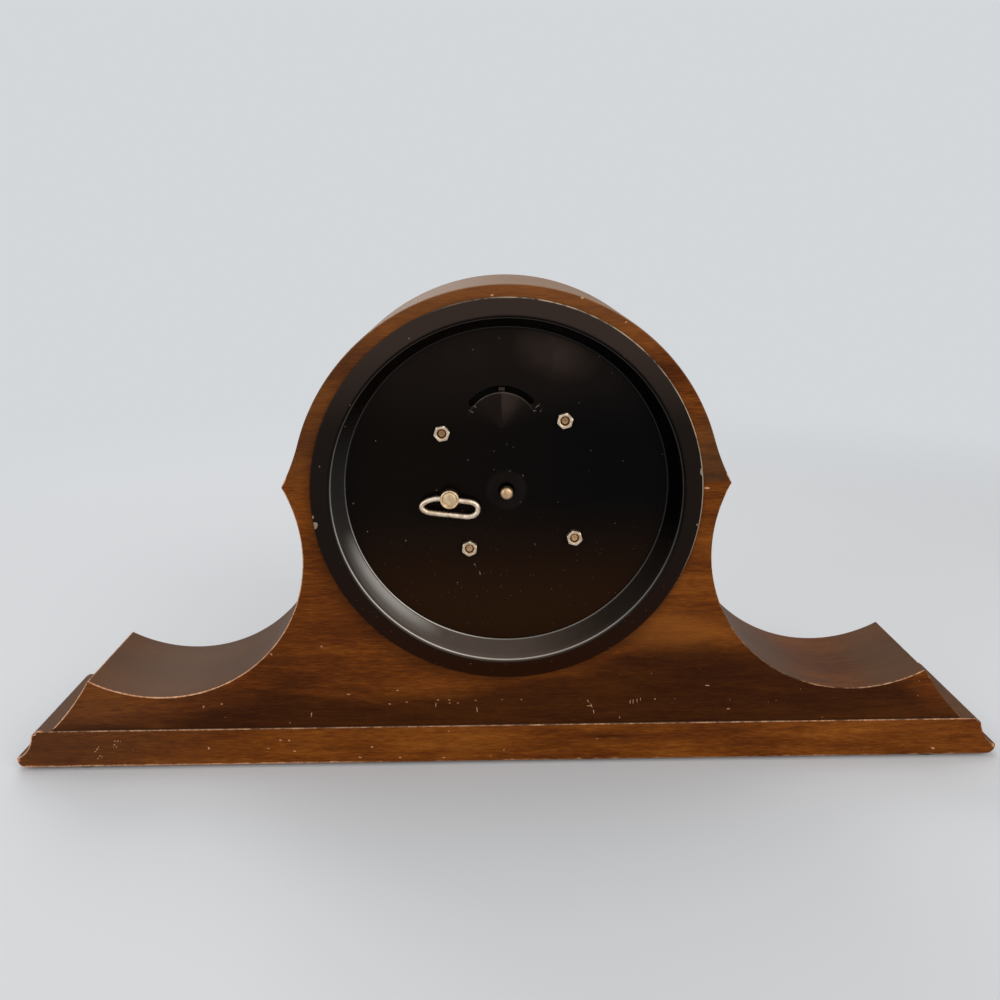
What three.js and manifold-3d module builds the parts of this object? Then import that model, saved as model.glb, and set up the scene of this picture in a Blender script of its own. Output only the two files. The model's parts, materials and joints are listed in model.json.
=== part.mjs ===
// Tambour mantel clock with a rear-wound lever movement, built piece by piece.
// Millimetres, +Z up. The dial faces -Y and the stamped cover on the back faces +Y.
// Depths (b) are measured forward from the wooden back, heights from the plinth's underside.
import * as THREE from 'three';
import { mergeVertices } from 'three/addons/utils/BufferGeometryUtils.js';
import Module from 'manifold-3d';

const wasm = await Module();
wasm.setup();

// Case
const WIDTH = 381;
const BODY_DEPTH = 47;
const PAD_HEIGHT = 1.5;
const PAD_RADIUS = 9;
const PAD_PLACES = [[-165, 10], [165, 10], [-165, 44], [165, 44]];
const ARCH = { z: 103.8, r: 77.6 };
const CROWN_RISE = 1.6;
const FLARE_RADIUS = 83;
const EAR = [81, 110.8];
const SWEEP_RADIUS = 56.7;
const SHOULDER = [159.5, 36.1];
const FOOT_X = 175.9;
const END_HOLLOW = 1.2;
const BORE_RADIUS = 66;
const DIAL_HEIGHT = 106.4;
const REST_GAP = 0.1;

// Plinth and its moulded edge
const PLINTH_HEIGHT = 15.4;
const FRONT_LEDGE = 1.4;
const PLINTH_PROUD = 0.6;
const TOE_REACH = 9.9;
const TOE_HEIGHT = 3.4;
const UNDERCUT = 4.2;
const TOP_ROUND = [1.7, 13.9];
const QUIRK = [[2.9, 13.7], [3.3, 12.6]];
const COVE = { bend: [4.65, 6.8], end: [8.6, 4.6] };
const SCREW_X = 95;
const SCREW_DEPTH = BODY_DEPTH / 2;
const SCREW = { head: 4.6, sink: 4.2, shank: 2.1, tip: 34 };

// Rear cover, a stamped steel pan
const SHEET = 0.9;
const FLANGE_RADIUS = 70.65;
const FLANGE_PROUD = 1;
const LIP_RADIUS = 63.2;
const DISC_RADIUS = 60.2;
const DISC_DEPTH = 9.9;
const DISC_FRONT = DISC_DEPTH + SHEET;
const STEM_HOLE = 3;
const STEM = { r: 2.45, head: 2.6, neck: 1.6, proud: 6 };
const KEY_HOLE = 2.6;

// Bezel, glass and dial
const BEZEL_RADIUS = 71;
const GLASS = { r: 63.2, rim: 53.2, rise: 5, thick: 1.5 };
const SIGHT_RADIUS = 57.2;
const DIAL_PLATE = { r: 67.4, front: 48 };
const DIAL_FACE = { r: 61, back: 48.1, front: 48.4 };
const DIAL_HOLE = 2.8;
const DIAL_FEET = [[-5.4, 30.5], [-30.5, -5.4], [29.9, -8]];
const FOOT_RADIUS = 1.4;

// Movement plates, places as [x, z] from the dial centre seen from the front
const BACK_PLATE = [14, 15.5];
const FRONT_PLATE = [36, 37.5];
const PLATE_RADIUS = 38;
const STUDS = [[23.4, 21.9], [-21.3, 26.1], [14.05, -22], [-25.3, -18.3]];
const STUD_RADIUS = 1.45;
const PILLAR_RADIUS = 2;
const COLLAR_RADIUS = 3;
const NUT = { flats: 5.4, back: 7.3, front: 9.7, turns: [49, 45, 36, 15] };
const CENTRE = [0, 0];
const WINDING = [21, -2.1];
const BALANCE = [1.5, 23.2];

// Going train, teeth and modules from the barrel to the escape wheel
const GREAT = { teeth: 60, leaves: 10, m: 0.55 };
const INTER = { teeth: 48, leaves: 8, m: 0.44 };
const CENTRE_MESH = { teeth: 48, leaves: 6, m: 0.4 };
const THIRD_MESH = { teeth: 45, leaves: 6, m: 0.37 };
const FOURTH_MESH = { teeth: 48, leaves: 6, m: 0.31 };
const ESCAPE_WHEEL = { teeth: 15, tip: 5.6, root: 4.1 };
const MOTION = { m: 0.5, cannon: 10, minute: 30, leaves: 8, hour: 32 };
const THIRD_BEARING = 200;
const LEVER_BEARING = 232;
const PALLET_TO_BALANCE = 11;
const ESCAPE_TO_PALLET = 7.4;

// Levels of the train, back to front
const LEVEL = {
  inter: [16, 17],
  great: [29.6, 31],
  centre: [32.4, 33.4],
  third: [28, 29],
  fourth: [24, 25],
  escape: [20, 21],
  lever: [21.8, 22.6],
  balance: [25, 26.4],
  hairspring: [18.4, 19],
  cannon: [38.2, 40.6],
  minute: [38.4, 39.4],
  leaves: [39.6, 42.6],
  hour: [41, 42],
  click: [12.2, 13.5],
  regulator: [12.3, 13],
};
const PLAY = 0.2;

// Radii of arbors, pivots and posts
const ARBOR = { winding: 2, core: 2.6, nose: 1.5, inter: 1.2, train: 0.5, centre: 0.7 };
const PIVOT = { inter: 0.8, train: 0.35 };
const MINUTE_POST = 0.65;
const BALANCE_SCREW = 1.6;
const BALANCE_STAFF = 1;
const HAIRSPRING = { r: 7, end: 20 };
const BALANCE_RIM = { inner: 8.4, outer: 9.8 };
const ROLLER = { r: 3.2, pin: 2.2 };
const CLICK_HOLE = 0.9;
const STUD_PIN = 0.7;
const TENON = 1.2;
const CANNON_PIPE = 1.5;
const HOUR_PIPE = { bore: 1.75, r: 2.3 };

// Winding work
const DRUM = { r: 15.2, wall: 0.8, back: 17.8 };
const RATCHET = { teeth: 20, tip: 5.2, root: 4.4 };
const CLICK_PLACE = [26.5, -9.1];
const CLICK_TIP = [23.6, -7.2];
const HUB = { r: 3.55, back: 4.4, face: 5, front: 9.2, bore: 1.5 };
const BAIL = { half: 10.35, drop: 5.8, wire: 1.05, depth: 6.45, lower: 0.3, tilt: 7, start: 2.9, hole: 2 };

// Regulator and its slot in the cover
const SLOT = { r: 14.45, half: 1.2, from: 40, to: 137 };
const TAB = { wide: 2.2, thick: 1 };

// Hands, read at nine minutes past ten
const HOUR_HAND = { length: 33, turn: 304.5, back: 49.6, front: 50.1 };
const MINUTE_HAND = { length: 49, turn: 54, back: 51.6, front: 52.1 };

// Materials by slot: colour, roughness, metalness
const FINISH = {
  walnut: [0x643c1c, 0.45, 0],
  felt: [0x2f3a2c, 1, 0],
  enamel: [0x0d0c0b, 0.25, 0.2],
  nickel: [0xa79c8c, 0.35, 1],
  steel: [0x8c9096, 0.35, 1],
  blued: [0x20242f, 0.3, 1],
  brass: [0xb08a45, 0.35, 1],
  gilt: [0xc9a860, 0.25, 1],
  paper: [0xe9e2cf, 0.8, 0],
  glass: [0xeef3f2, 0.05, 0],
};

const TURN = 2 * Math.PI;
const BACK_Y = (FLANGE_PROUD + BODY_DEPTH + FRONT_LEDGE + TOE_REACH) / 2 - FLANGE_PROUD;

// Plane geometry on [x, z] pairs
const radians = (degrees) => (degrees * Math.PI) / 180;
const polar = (r, angle, [x, z] = CENTRE) => [x + r * Math.cos(angle), z + r * Math.sin(angle)];
const bearing = ([ax, az], [bx, bz]) => Math.atan2(bz - az, bx - ax);
const distance = ([ax, az], [bx, bz]) => Math.hypot(bx - ax, bz - az);
const reach = ({ teeth, leaves, m }) => ((teeth + leaves) * m) / 2;

// The point at two given distances from a and b, on the left of the way from a to b
function meet(a, ra, b, rb) {
  const d = distance(a, b);
  const along = (ra * ra - rb * rb + d * d) / (2 * d);
  const aside = Math.sqrt(ra * ra - along * along);
  const heading = bearing(a, b);
  return polar(aside, heading + Math.PI / 2, polar(along, heading, a));
}

// Points along an arc, both ends included
function arc(centre, r, from, to, steps) {
  const points = [];
  for (let i = 0; i <= steps; i++) points.push(polar(r, from + ((to - from) * i) / steps, centre));
  return points;
}

const ring = (centre, r, sides) => arc(centre, r, 0, TURN, sides).slice(0, -1);
const vectors = (points) => points.map(([x, z]) => new THREE.Vector2(x, z));

// An outline with holes, all given as point lists
function outline(points, holes = []) {
  const shape = new THREE.Shape(vectors(points));
  shape.holes = holes.map((hole) => new THREE.Path(vectors(hole)));
  return shape;
}

// A closed solid from a three.js geometry, for joining and cutting
function solid(geometry) {
  geometry.deleteAttribute('normal');
  geometry.deleteAttribute('uv');
  const merged = mergeVertices(geometry, 1e-4);
  const vertProperties = merged.attributes.position.array;
  const triVerts = new Uint32Array(merged.index.array);
  return new wasm.Manifold(new wasm.Mesh({ numProp: 3, vertProperties, triVerts }));
}

const join = (...solids) => solids.reduce((whole, part) => whole.add(part));
const cut = (whole, ...tools) => tools.reduce((rest, tool) => rest.subtract(tool), whole);

// A flat piece between two depths
function flat(shape, [b0, b1]) {
  const geometry = new THREE.ExtrudeGeometry(shape, { depth: b1 - b0, bevelEnabled: false });
  geometry.rotateX(Math.PI / 2);
  geometry.translate(0, -b0, 0);
  return solid(geometry);
}

// A piece turned about an axis along y through a place, from [radius, depth] corners
function turned(profile, sides, [x, z] = CENTRE) {
  const points = profile.map(([r, b]) => new THREE.Vector2(r, -b));
  if (THREE.ShapeUtils.isClockWise(points)) points.reverse();
  if (profile[0][0] > 0) points.push(points[0].clone());
  const geometry = new THREE.LatheGeometry(points, sides);
  geometry.translate(x, 0, z);
  return solid(geometry);
}

const pin = (r, [b0, b1], sides, place) => turned([[0, b0], [r, b0], [r, b1], [0, b1]], sides, place);
const tube = (inner, outer, [b0, b1], sides, place) =>
  turned([[inner, b0], [outer, b0], [outer, b1], [inner, b1]], sides, place);

// A piece turned about a vertical axis, from [radius, height] corners
function turnedUp(profile, sides, x, b) {
  const points = vectors(profile);
  if (THREE.ShapeUtils.isClockWise(points)) points.reverse();
  const geometry = new THREE.LatheGeometry(points, sides);
  geometry.rotateX(Math.PI / 2);
  geometry.translate(x, -b, 0);
  return solid(geometry);
}

// Pointed teeth, one of them at the angle lead
function toothed(teeth, tip, root, lead) {
  const pitch = TURN / teeth;
  const points = [];
  for (let i = 0; i < teeth; i++) {
    points.push(polar(tip, lead + i * pitch));
    points.push(polar(root, lead + (i + 0.5) * pitch));
  }
  return points;
}

const wheelTeeth = (teeth, m, lead) =>
  toothed(teeth, (teeth * m) / 2 + 0.8 * m, (teeth * m) / 2 - 1.2 * m, lead);
const pinionLeaves = (leaves, m, gap) =>
  toothed(leaves, (leaves * m) / 2 + 0.6 * m, (leaves * m) / 2 - 1.15 * m, gap + Math.PI / leaves);

// A finished node: a named mesh with its own material, set in its group
function node(group, name, finish, body, place = [0, 0, 0]) {
  const mesh = body.getMesh();
  const geometry = new THREE.BufferGeometry();
  geometry.setAttribute('position', new THREE.BufferAttribute(mesh.vertProperties, 3));
  geometry.setIndex(new THREE.BufferAttribute(mesh.triVerts, 1));
  geometry.computeVertexNormals();
  const [color, roughness, metalness] = FINISH[finish];
  const piece = new THREE.Mesh(geometry, new THREE.MeshStandardMaterial({ color, roughness, metalness }));
  piece.name = name;
  piece.position.set(...place);
  group.add(piece);
  return piece;
}

const on = ([x, z]) => [x, 0, z];

// Arbor places worked out from the tooth counts
const INTER_PLACE = meet(WINDING, reach(GREAT), CENTRE, reach(INTER));
const THIRD = polar(reach(CENTRE_MESH), radians(THIRD_BEARING));
const PALLET = polar(PALLET_TO_BALANCE, radians(LEVER_BEARING), BALANCE);
const ESCAPE = polar(ESCAPE_TO_PALLET, radians(LEVER_BEARING), PALLET);
const FOURTH = meet(THIRD, reach(THIRD_MESH), ESCAPE, reach(FOURTH_MESH));
const MINUTE_PLACE = [0, (-MOTION.m * (MOTION.cannon + MOTION.minute)) / 2];
const HAIRSPRING_STUD = polar(HAIRSPRING.r, radians(HAIRSPRING.end), BALANCE);

const clock = new THREE.Group();
const wooden = new THREE.Group();
wooden.position.set(0, BACK_Y, PAD_HEIGHT);
const movement = new THREE.Group();
movement.position.set(0, BACK_Y, PAD_HEIGHT + DIAL_HEIGHT);
clock.add(wooden, movement);

// Right half of the case outline, from the foot up over the shoulder to the crown
function caseHalf() {
  const base = PLINTH_HEIGHT + REST_GAP;
  const foot = [FOOT_X, base];
  const middle = [(FOOT_X + SHOULDER[0]) / 2 - END_HOLLOW, (base + SHOULDER[1]) / 2 - END_HOLLOW];
  const end = new THREE.QuadraticBezierCurve(...vectors([foot, middle, SHOULDER]));
  const sweepCentre = meet(EAR, SWEEP_RADIUS, SHOULDER, SWEEP_RADIUS);
  const sweepFrom = bearing(sweepCentre, SHOULDER) + TURN;
  const sweep = arc(sweepCentre, SWEEP_RADIUS, sweepFrom, bearing(sweepCentre, EAR), 20);
  const crown = [0, ARCH.z];
  const flareCentre = meet(crown, ARCH.r + FLARE_RADIUS, EAR, FLARE_RADIUS);
  const joint = bearing(crown, flareCentre);
  const flareFrom = bearing(flareCentre, EAR) + TURN;
  const flare = arc(flareCentre, FLARE_RADIUS, flareFrom, joint + Math.PI, 4);
  const arch = arc(crown, ARCH.r, joint, Math.PI / 2, 16);
  const slope = end.getPoints(4).map(({ x, y }) => [x, y]);
  return [...slope, ...sweep.slice(1), ...flare.slice(1), ...arch.slice(1)];
}

const mirrored = (half) => half.map(([x, z]) => [-x, z]).reverse();

// The crown's top rises a little from its back edge to its front edge
function raised(block) {
  const crown = ARCH.z + ARCH.r;
  return block.warp((point) => {
    const up = Math.max(0, (point[2] - EAR[1]) / (crown - EAR[1]));
    point[2] -= (CROWN_RISE * up * up * point[1]) / BODY_DEPTH;
  });
}

function caseBody() {
  const half = caseHalf();
  const points = [...half, ...mirrored(half.slice(0, -1))];
  const block = raised(flat(outline(points), [0, BODY_DEPTH]));
  const bore = pin(BORE_RADIUS, [-1, BODY_DEPTH + 1], 56, [0, DIAL_HEIGHT]);
  const pilot = [[0, 0], [SCREW.shank + PLAY, 0], [SCREW.shank + PLAY, SCREW.tip + 1], [0, SCREW.tip + 1]];
  const pilots = [-SCREW_X, SCREW_X].map((x) => turnedUp(pilot, 10, x, SCREW_DEPTH));
  node(wooden, 'case_body', 'walnut', cut(block, bore, ...pilots));
}

// The plinth's moulding from its top edge out to the toe and under, as [out, height]
function moulding() {
  const path = new THREE.Path();
  path.moveTo(0, PLINTH_HEIGHT);
  path.quadraticCurveTo(TOP_ROUND[0], PLINTH_HEIGHT, ...TOP_ROUND);
  QUIRK.forEach((corner) => path.lineTo(...corner));
  path.quadraticCurveTo(...COVE.bend, ...COVE.end);
  path.quadraticCurveTo(TOE_REACH, COVE.end[1], TOE_REACH, TOE_HEIGHT);
  path.quadraticCurveTo(TOE_REACH, 0, TOE_REACH - UNDERCUT, 0);
  return path.getPoints(4).map(({ x, y }) => [x, y]);
}

function plinth() {
  const edge = moulding().reverse();
  const topHalf = WIDTH / 2 - TOE_REACH;
  const ends = edge.map(([out, z]) => [topHalf + out, z]);
  const topFront = BODY_DEPTH + FRONT_LEDGE;
  const long = flat(outline([...ends, ...mirrored(ends)]), [-PLINTH_PROUD, topFront + TOE_REACH + 1]);
  const front = edge.map(([out, z]) => [-topFront - out, z]).reverse();
  const section = outline([...front, [PLINTH_PROUD, 0], [PLINTH_PROUD, PLINTH_HEIGHT]]);
  const across = new THREE.ExtrudeGeometry(section, { depth: WIDTH + 2, bevelEnabled: false });
  const [x, y, z] = [new THREE.Vector3(1, 0, 0), new THREE.Vector3(0, 1, 0), new THREE.Vector3(0, 0, 1)];
  across.applyMatrix4(new THREE.Matrix4().makeBasis(y, z, x));
  across.translate(-WIDTH / 2 - 1, 0, 0);
  const board = long.intersect(solid(across));
  const [wide, narrow] = [SCREW.head + 0.4, SCREW.shank + 0.4];
  const hole = [[0, -1], [wide, -1], [wide, SCREW.sink], [narrow, SCREW.sink], [narrow, 20], [0, 20]];
  const holes = [-SCREW_X, SCREW_X].map((at) => turnedUp(hole, 12, at, SCREW_DEPTH));
  node(wooden, 'plinth', 'walnut', cut(board, ...holes));
}

function plinthScrews() {
  const { head, sink, shank, tip } = SCREW;
  const top = sink - REST_GAP;
  const profile = [
    [0, 1],
    [head - 0.4, 1],
    [head, 1.4],
    [head, top],
    [shank, top],
    [shank, tip - 4],
    [0, tip],
  ];
  [-SCREW_X, SCREW_X].forEach((x, i) => {
    node(wooden, `plinth_screw_${i + 1}`, 'steel', turnedUp(profile, 10, x, SCREW_DEPTH));
  });
}

function feltPads() {
  const height = PAD_HEIGHT - REST_GAP;
  const profile = [[0, 0], [PAD_RADIUS, 0], [PAD_RADIUS, height], [0, height]];
  PAD_PLACES.forEach(([x, b], i) => {
    node(clock, `felt_pad_${i + 1}`, 'felt', turnedUp(profile, 20, x, b), [0, BACK_Y, 0]);
  });
}

// The curved slot that the regulator's tab shows through
function slotOutline() {
  const from = radians(SLOT.from);
  const to = radians(SLOT.to);
  const outer = arc(BALANCE, SLOT.r + SLOT.half, from, to, 12);
  const left = arc(polar(SLOT.r, to, BALANCE), SLOT.half, to, to + Math.PI, 4);
  const inner = arc(BALANCE, SLOT.r - SLOT.half, to, from, 12);
  const right = arc(polar(SLOT.r, from, BALANCE), SLOT.half, from - Math.PI, from, 4);
  return outline([...outer, ...left.slice(1, -1), ...inner, ...right.slice(1, -1)]);
}

function backCover() {
  const rear = -FLANGE_PROUD;
  const seat = -REST_GAP;
  const profile = [
    [0, DISC_DEPTH],
    [DISC_RADIUS - 0.8, DISC_DEPTH],
    [DISC_RADIUS + 0.3, DISC_DEPTH - 0.8],
    [LIP_RADIUS - 0.3, 0.4],
    [LIP_RADIUS + 1.3, rear],
    [FLANGE_RADIUS - 0.4, rear],
    [FLANGE_RADIUS, rear + 0.4],
    [FLANGE_RADIUS, seat],
    [LIP_RADIUS + 1.8, seat],
    [LIP_RADIUS + 0.6, SHEET],
    [DISC_RADIUS + 1, DISC_DEPTH],
    [DISC_RADIUS - 0.4, DISC_FRONT],
    [0, DISC_FRONT],
  ];
  const through = [DISC_DEPTH - 1, DISC_FRONT + 1];
  const studHoles = STUDS.map((place) => pin(STUD_RADIUS + 0.3, through, 8, place));
  const keyHole = pin(KEY_HOLE, through, 12, WINDING);
  const stemHole = pin(STEM_HOLE, through, 12);
  const cover = cut(turned(profile, 44), ...studHoles, keyHole, stemHole, flat(slotOutline(), through));
  node(movement, 'back_cover', 'enamel', cover);
}

function nuts() {
  STUDS.forEach((place, i) => {
    const start = radians(NUT.turns[i]);
    const across = NUT.flats / Math.sqrt(3);
    const hexagon = arc(CENTRE, across, start, start + TURN, 6).slice(0, -1);
    const shape = outline(hexagon, [ring(CENTRE, STUD_RADIUS + PLAY, 8)]);
    node(movement, `nut_${i + 1}`, 'nickel', flat(shape, [NUT.back, NUT.front]), on(place));
  });
}

// Through pillars: riveted in the front plate, collared behind the back plate, threaded for the nuts
function pillars() {
  const collar = [DISC_FRONT + PLAY, BACK_PLATE[0] - REST_GAP];
  const shoulder = FRONT_PLATE[0] - REST_GAP;
  const tenon = FRONT_PLATE[1] + PLAY;
  const profile = [
    [0, NUT.back + 0.5],
    [STUD_RADIUS, NUT.back + 0.5],
    [STUD_RADIUS, collar[0]],
    [COLLAR_RADIUS, collar[0]],
    [COLLAR_RADIUS, collar[1]],
    [PILLAR_RADIUS, collar[1]],
    [PILLAR_RADIUS, shoulder],
    [TENON, shoulder],
    [TENON, tenon],
    [0, tenon],
  ];
  STUDS.forEach((place, i) => node(movement, `pillar_${i + 1}`, 'brass', turned(profile, 8), on(place)));
}

function plates() {
  const pivots = [THIRD, FOURTH, ESCAPE, PALLET].map((place) => ring(place, PIVOT.train + PLAY, 6));
  const screwHole = ring(BALANCE, BALANCE_SCREW + PLAY, 8);
  const centreHole = ring(CENTRE, ARBOR.centre + 0.3, 8);
  const shared = [ring(INTER_PLACE, PIVOT.inter + PLAY, 8), screwHole, centreHole, ...pivots];
  const back = [
    ...shared,
    ring(WINDING, ARBOR.winding + PLAY, 10),
    ring(CLICK_PLACE, CLICK_HOLE, 6),
    ring(HAIRSPRING_STUD, STUD_PIN + PLAY, 6),
    ...STUDS.map((place) => ring(place, PILLAR_RADIUS + PLAY, 8)),
  ];
  const front = [
    ...shared,
    ring(WINDING, ARBOR.nose + PLAY, 8),
    ring(MINUTE_PLACE, MINUTE_POST + PLAY, 6),
    ...STUDS.map((place) => ring(place, TENON + PLAY, 8)),
    ...DIAL_FEET.map((place) => ring(place, FOOT_RADIUS + PLAY, 8)),
  ];
  node(movement, 'back_plate', 'brass', flat(outline(ring(CENTRE, PLATE_RADIUS, 36), back), BACK_PLATE));
  node(movement, 'front_plate', 'brass', flat(outline(ring(CENTRE, PLATE_RADIUS, 36), front), FRONT_PLATE));
}

function bezelAndDial() {
  const seat = BODY_DEPTH + REST_GAP;
  const bezel = [
    [BEZEL_RADIUS, seat],
    [BEZEL_RADIUS, seat + 0.9],
    [BEZEL_RADIUS - 2.4, seat + 5.1],
    [BEZEL_RADIUS - 6.4, seat + 8.3],
    [BEZEL_RADIUS - 9.8, seat + 8.5],
    [BEZEL_RADIUS - 10.8, seat + 7.6],
    [BEZEL_RADIUS - 7.4, seat + 6.6],
    [BEZEL_RADIUS - 3.8, seat + 2.9],
    [BEZEL_RADIUS - 3.1, seat],
  ];
  node(movement, 'bezel', 'gilt', turned(bezel, 44));

  const stations = [0, 0.3, 0.6, 0.85, 1];
  const front = stations.map((t) => [t * GLASS.r, GLASS.rim + GLASS.rise * (1 - t * t)]);
  const rear = front.map(([r, b]) => [r, b - GLASS.thick]).reverse();
  node(movement, 'glass', 'glass', turned([...front, ...rear], 40));

  const seatRing = DIAL_FACE.front + REST_GAP;
  const top = GLASS.rim - GLASS.thick - PLAY;
  const sight = [
    [SIGHT_RADIUS, seatRing],
    [SIGHT_RADIUS + 0.6, seatRing],
    [GLASS.r, top - 0.4],
    [GLASS.r, top],
    [SIGHT_RADIUS, seatRing + 0.6],
  ];
  node(movement, 'sight_ring', 'gilt', turned(sight, 44));

  const hole = [ring(CENTRE, DIAL_HOLE, 12)];
  const plate = flat(outline(ring(CENTRE, DIAL_PLATE.r, 44), hole), [seat, DIAL_PLATE.front]);
  const feet = DIAL_FEET.map((place) => pin(FOOT_RADIUS, [FRONT_PLATE[0], seat + 0.4], 8, place));
  node(movement, 'dial_plate', 'brass', join(plate, ...feet));
  const face = flat(outline(ring(CENTRE, DIAL_FACE.r, 44), hole), [DIAL_FACE.back, DIAL_FACE.front]);
  node(movement, 'dial_face', 'paper', face);
}

// A flat spiral band that winds out from one radius to another, ending at a given angle
function spiral(inner, outer, turns, thick, steps, end) {
  const edge = (shift) => (t) => polar(inner + (outer - inner) * t + shift, end + (t - 1) * turns * TURN);
  const stations = Array.from({ length: steps + 1 }, (_, i) => i / steps);
  return [...stations.map(edge(-thick / 2)), ...stations.map(edge(thick / 2)).reverse()];
}

// Barrel with its great wheel, lid and mainspring, and the arbor that winds it
function barrelAndWinding() {
  const lead = bearing(WINDING, INTER_PLACE);
  const inside = DRUM.r - DRUM.wall;
  const bearingHole = ARBOR.core + 0.3;
  const [rear, front] = LEVEL.great;
  const teeth = outline(wheelTeeth(GREAT.teeth, GREAT.m, lead), [ring(CENTRE, inside, 28)]);
  const drum = [
    [bearingHole, DRUM.back],
    [DRUM.r, DRUM.back],
    [DRUM.r, rear + 0.2],
    [inside, rear + 0.2],
    [inside, DRUM.back + DRUM.wall],
    [bearingHole, DRUM.back + DRUM.wall],
  ];
  node(movement, 'barrel', 'brass', join(flat(teeth, LEVEL.great), turned(drum, 28)), on(WINDING));
  const lid = outline(ring(CENTRE, inside - 0.3, 28), [ring(CENTRE, bearingHole, 10)]);
  node(movement, 'barrel_lid', 'brass', flat(lid, [rear + 0.2, front - 0.2]), on(WINDING));
  const band = outline(spiral(ARBOR.core + 0.8, inside - 0.8, 6, 0.5, 84, 0));
  node(movement, 'mainspring', 'steel', flat(band, [DRUM.back + 1.2, rear - 0.2]), on(WINDING));

  const arbor = [
    [0, HUB.face + 0.2],
    [HUB.bore - PLAY, HUB.face + 0.2],
    [HUB.bore - PLAY, HUB.front + PLAY],
    [ARBOR.winding, HUB.front + PLAY],
    [ARBOR.winding, BACK_PLATE[1] + PLAY],
    [ARBOR.core, BACK_PLATE[1] + PLAY],
    [ARBOR.core, FRONT_PLATE[0] - PLAY],
    [ARBOR.nose, FRONT_PLATE[0] - PLAY],
    [ARBOR.nose, FRONT_PLATE[1] + PLAY],
    [0, FRONT_PLATE[1] + PLAY],
  ];
  node(movement, 'winding_arbor', 'steel', turned(arbor, 10), on(WINDING));
  const ratchet = outline(sawTeeth(RATCHET), [ring(CENTRE, ARBOR.winding + PLAY, 10)]);
  node(movement, 'ratchet_wheel', 'steel', flat(ratchet, LEVEL.click), on(WINDING));
}

// Saw teeth for a ratchet: a radial face, then a long slope
function sawTeeth({ teeth, tip, root }) {
  const pitch = TURN / teeth;
  const points = [];
  for (let i = 0; i < teeth; i++) {
    points.push(polar(root, i * pitch));
    points.push(polar(tip, i * pitch + 0.12 * pitch));
  }
  return points;
}

// Click, its screw and the blade spring that holds it to the ratchet
function clickWork() {
  const heading = bearing(CLICK_PLACE, CLICK_TIP);
  const tip = polar(distance(CLICK_PLACE, CLICK_TIP), heading);
  const back = arc(CENTRE, 1.9, heading + 1.6, heading + TURN - 1.6, 8);
  const nose = [polar(0.4, heading - 1.57, tip), polar(0.4, heading + 1.57, tip)];
  const click = outline([...back, ...nose], [ring(CENTRE, CLICK_HOLE, 8)]);
  node(movement, 'click', 'steel', flat(click, LEVEL.click), on(CLICK_PLACE));
  const [rear, front] = LEVEL.click;
  const screw = [
    [0, rear - 1],
    [1.7, rear - 1],
    [1.7, rear - PLAY],
    [CLICK_HOLE - 0.25, rear - PLAY],
    [CLICK_HOLE - 0.25, BACK_PLATE[1]],
    [0, BACK_PLATE[1]],
  ];
  node(movement, 'click_screw', 'steel', turned(screw, 8), on(CLICK_PLACE));
  const blade = [[28.9, -9.6], [29.3, -9.4], [31.9, -15.6], [33.4, -16.4], [33.2, -18.2], [31.2, -17.6]];
  const spring = flat(outline(blade), [rear + 0.2, front]);
  node(movement, 'click_spring', 'steel', spring);
}

// Folding winding key: a turned hub with a wire bail pinned across it
function windingKey() {
  const { r, back, face, front, bore } = HUB;
  const profile = [
    [bore, face],
    [r - 0.95, face],
    [r - 0.75, back],
    [r - 0.25, back],
    [r, back + 0.3],
    [r, front],
    [bore, front],
  ];
  const key = new THREE.Group();
  key.position.set(...on(WINDING));
  key.rotation.y = -radians(BAIL.tilt);
  movement.add(key);
  const crossHole = (side) => {
    const hole = new THREE.CylinderGeometry(BAIL.wire + PLAY, BAIL.wire + PLAY, HUB.r, 10);
    hole.rotateZ(Math.PI / 2);
    hole.translate(side * (BAIL.hole + HUB.r / 2), -BAIL.depth, -BAIL.lower);
    return solid(hole);
  };
  node(key, 'key_hub', 'nickel', cut(turned(profile, 20), crossHole(-1), crossHole(1)));

  const bend = BAIL.drop / 2;
  const straight = BAIL.half - bend;
  const wireLoop = (grow) => [
    [BAIL.start, grow],
    ...arc([straight, -bend], bend + grow, Math.PI / 2, -Math.PI / 2, 8),
    ...arc([-straight, -bend], bend + grow, (3 * Math.PI) / 2, Math.PI / 2, 8),
    [-BAIL.start, grow],
  ];
  const core = BAIL.wire * Math.tan(Math.PI / 8);
  const corner = BAIL.wire - core;
  const shape = outline([...wireLoop(core), ...wireLoop(-core).reverse()]);
  const options = { depth: 2 * core, bevelThickness: corner, bevelSize: corner, bevelSegments: 1 };
  const wire = new THREE.ExtrudeGeometry(shape, options);
  wire.rotateX(Math.PI / 2);
  wire.translate(0, core - BAIL.depth, -BAIL.lower);
  node(key, 'key_bail', 'nickel', solid(wire));
}

// A pinion and its arbor between the plates
function pinionArbor(name, leaves, level, body, pivot, place) {
  node(movement, name, 'steel', join(pivoted(body, pivot), flat(outline(leaves), level)), on(place));
}

// A plain arbor with a pivot in each plate
function pivoted(body, pivot) {
  const profile = [
    [0, BACK_PLATE[0]],
    [pivot, BACK_PLATE[0]],
    [pivot, BACK_PLATE[1] + PLAY],
    [body, BACK_PLATE[1] + PLAY],
    [body, FRONT_PLATE[0] - PLAY],
    [pivot, FRONT_PLATE[0] - PLAY],
    [pivot, FRONT_PLATE[1]],
    [0, FRONT_PLATE[1]],
  ];
  return turned(profile, 6);
}

function wheel(name, teeth, hole, level, place) {
  node(movement, name, 'brass', flat(outline(teeth, [ring(CENTRE, hole, 8)]), level), on(place));
}

const thicker = ([b0, b1]) => [b0 - 0.3, b1 + 0.3];

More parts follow.
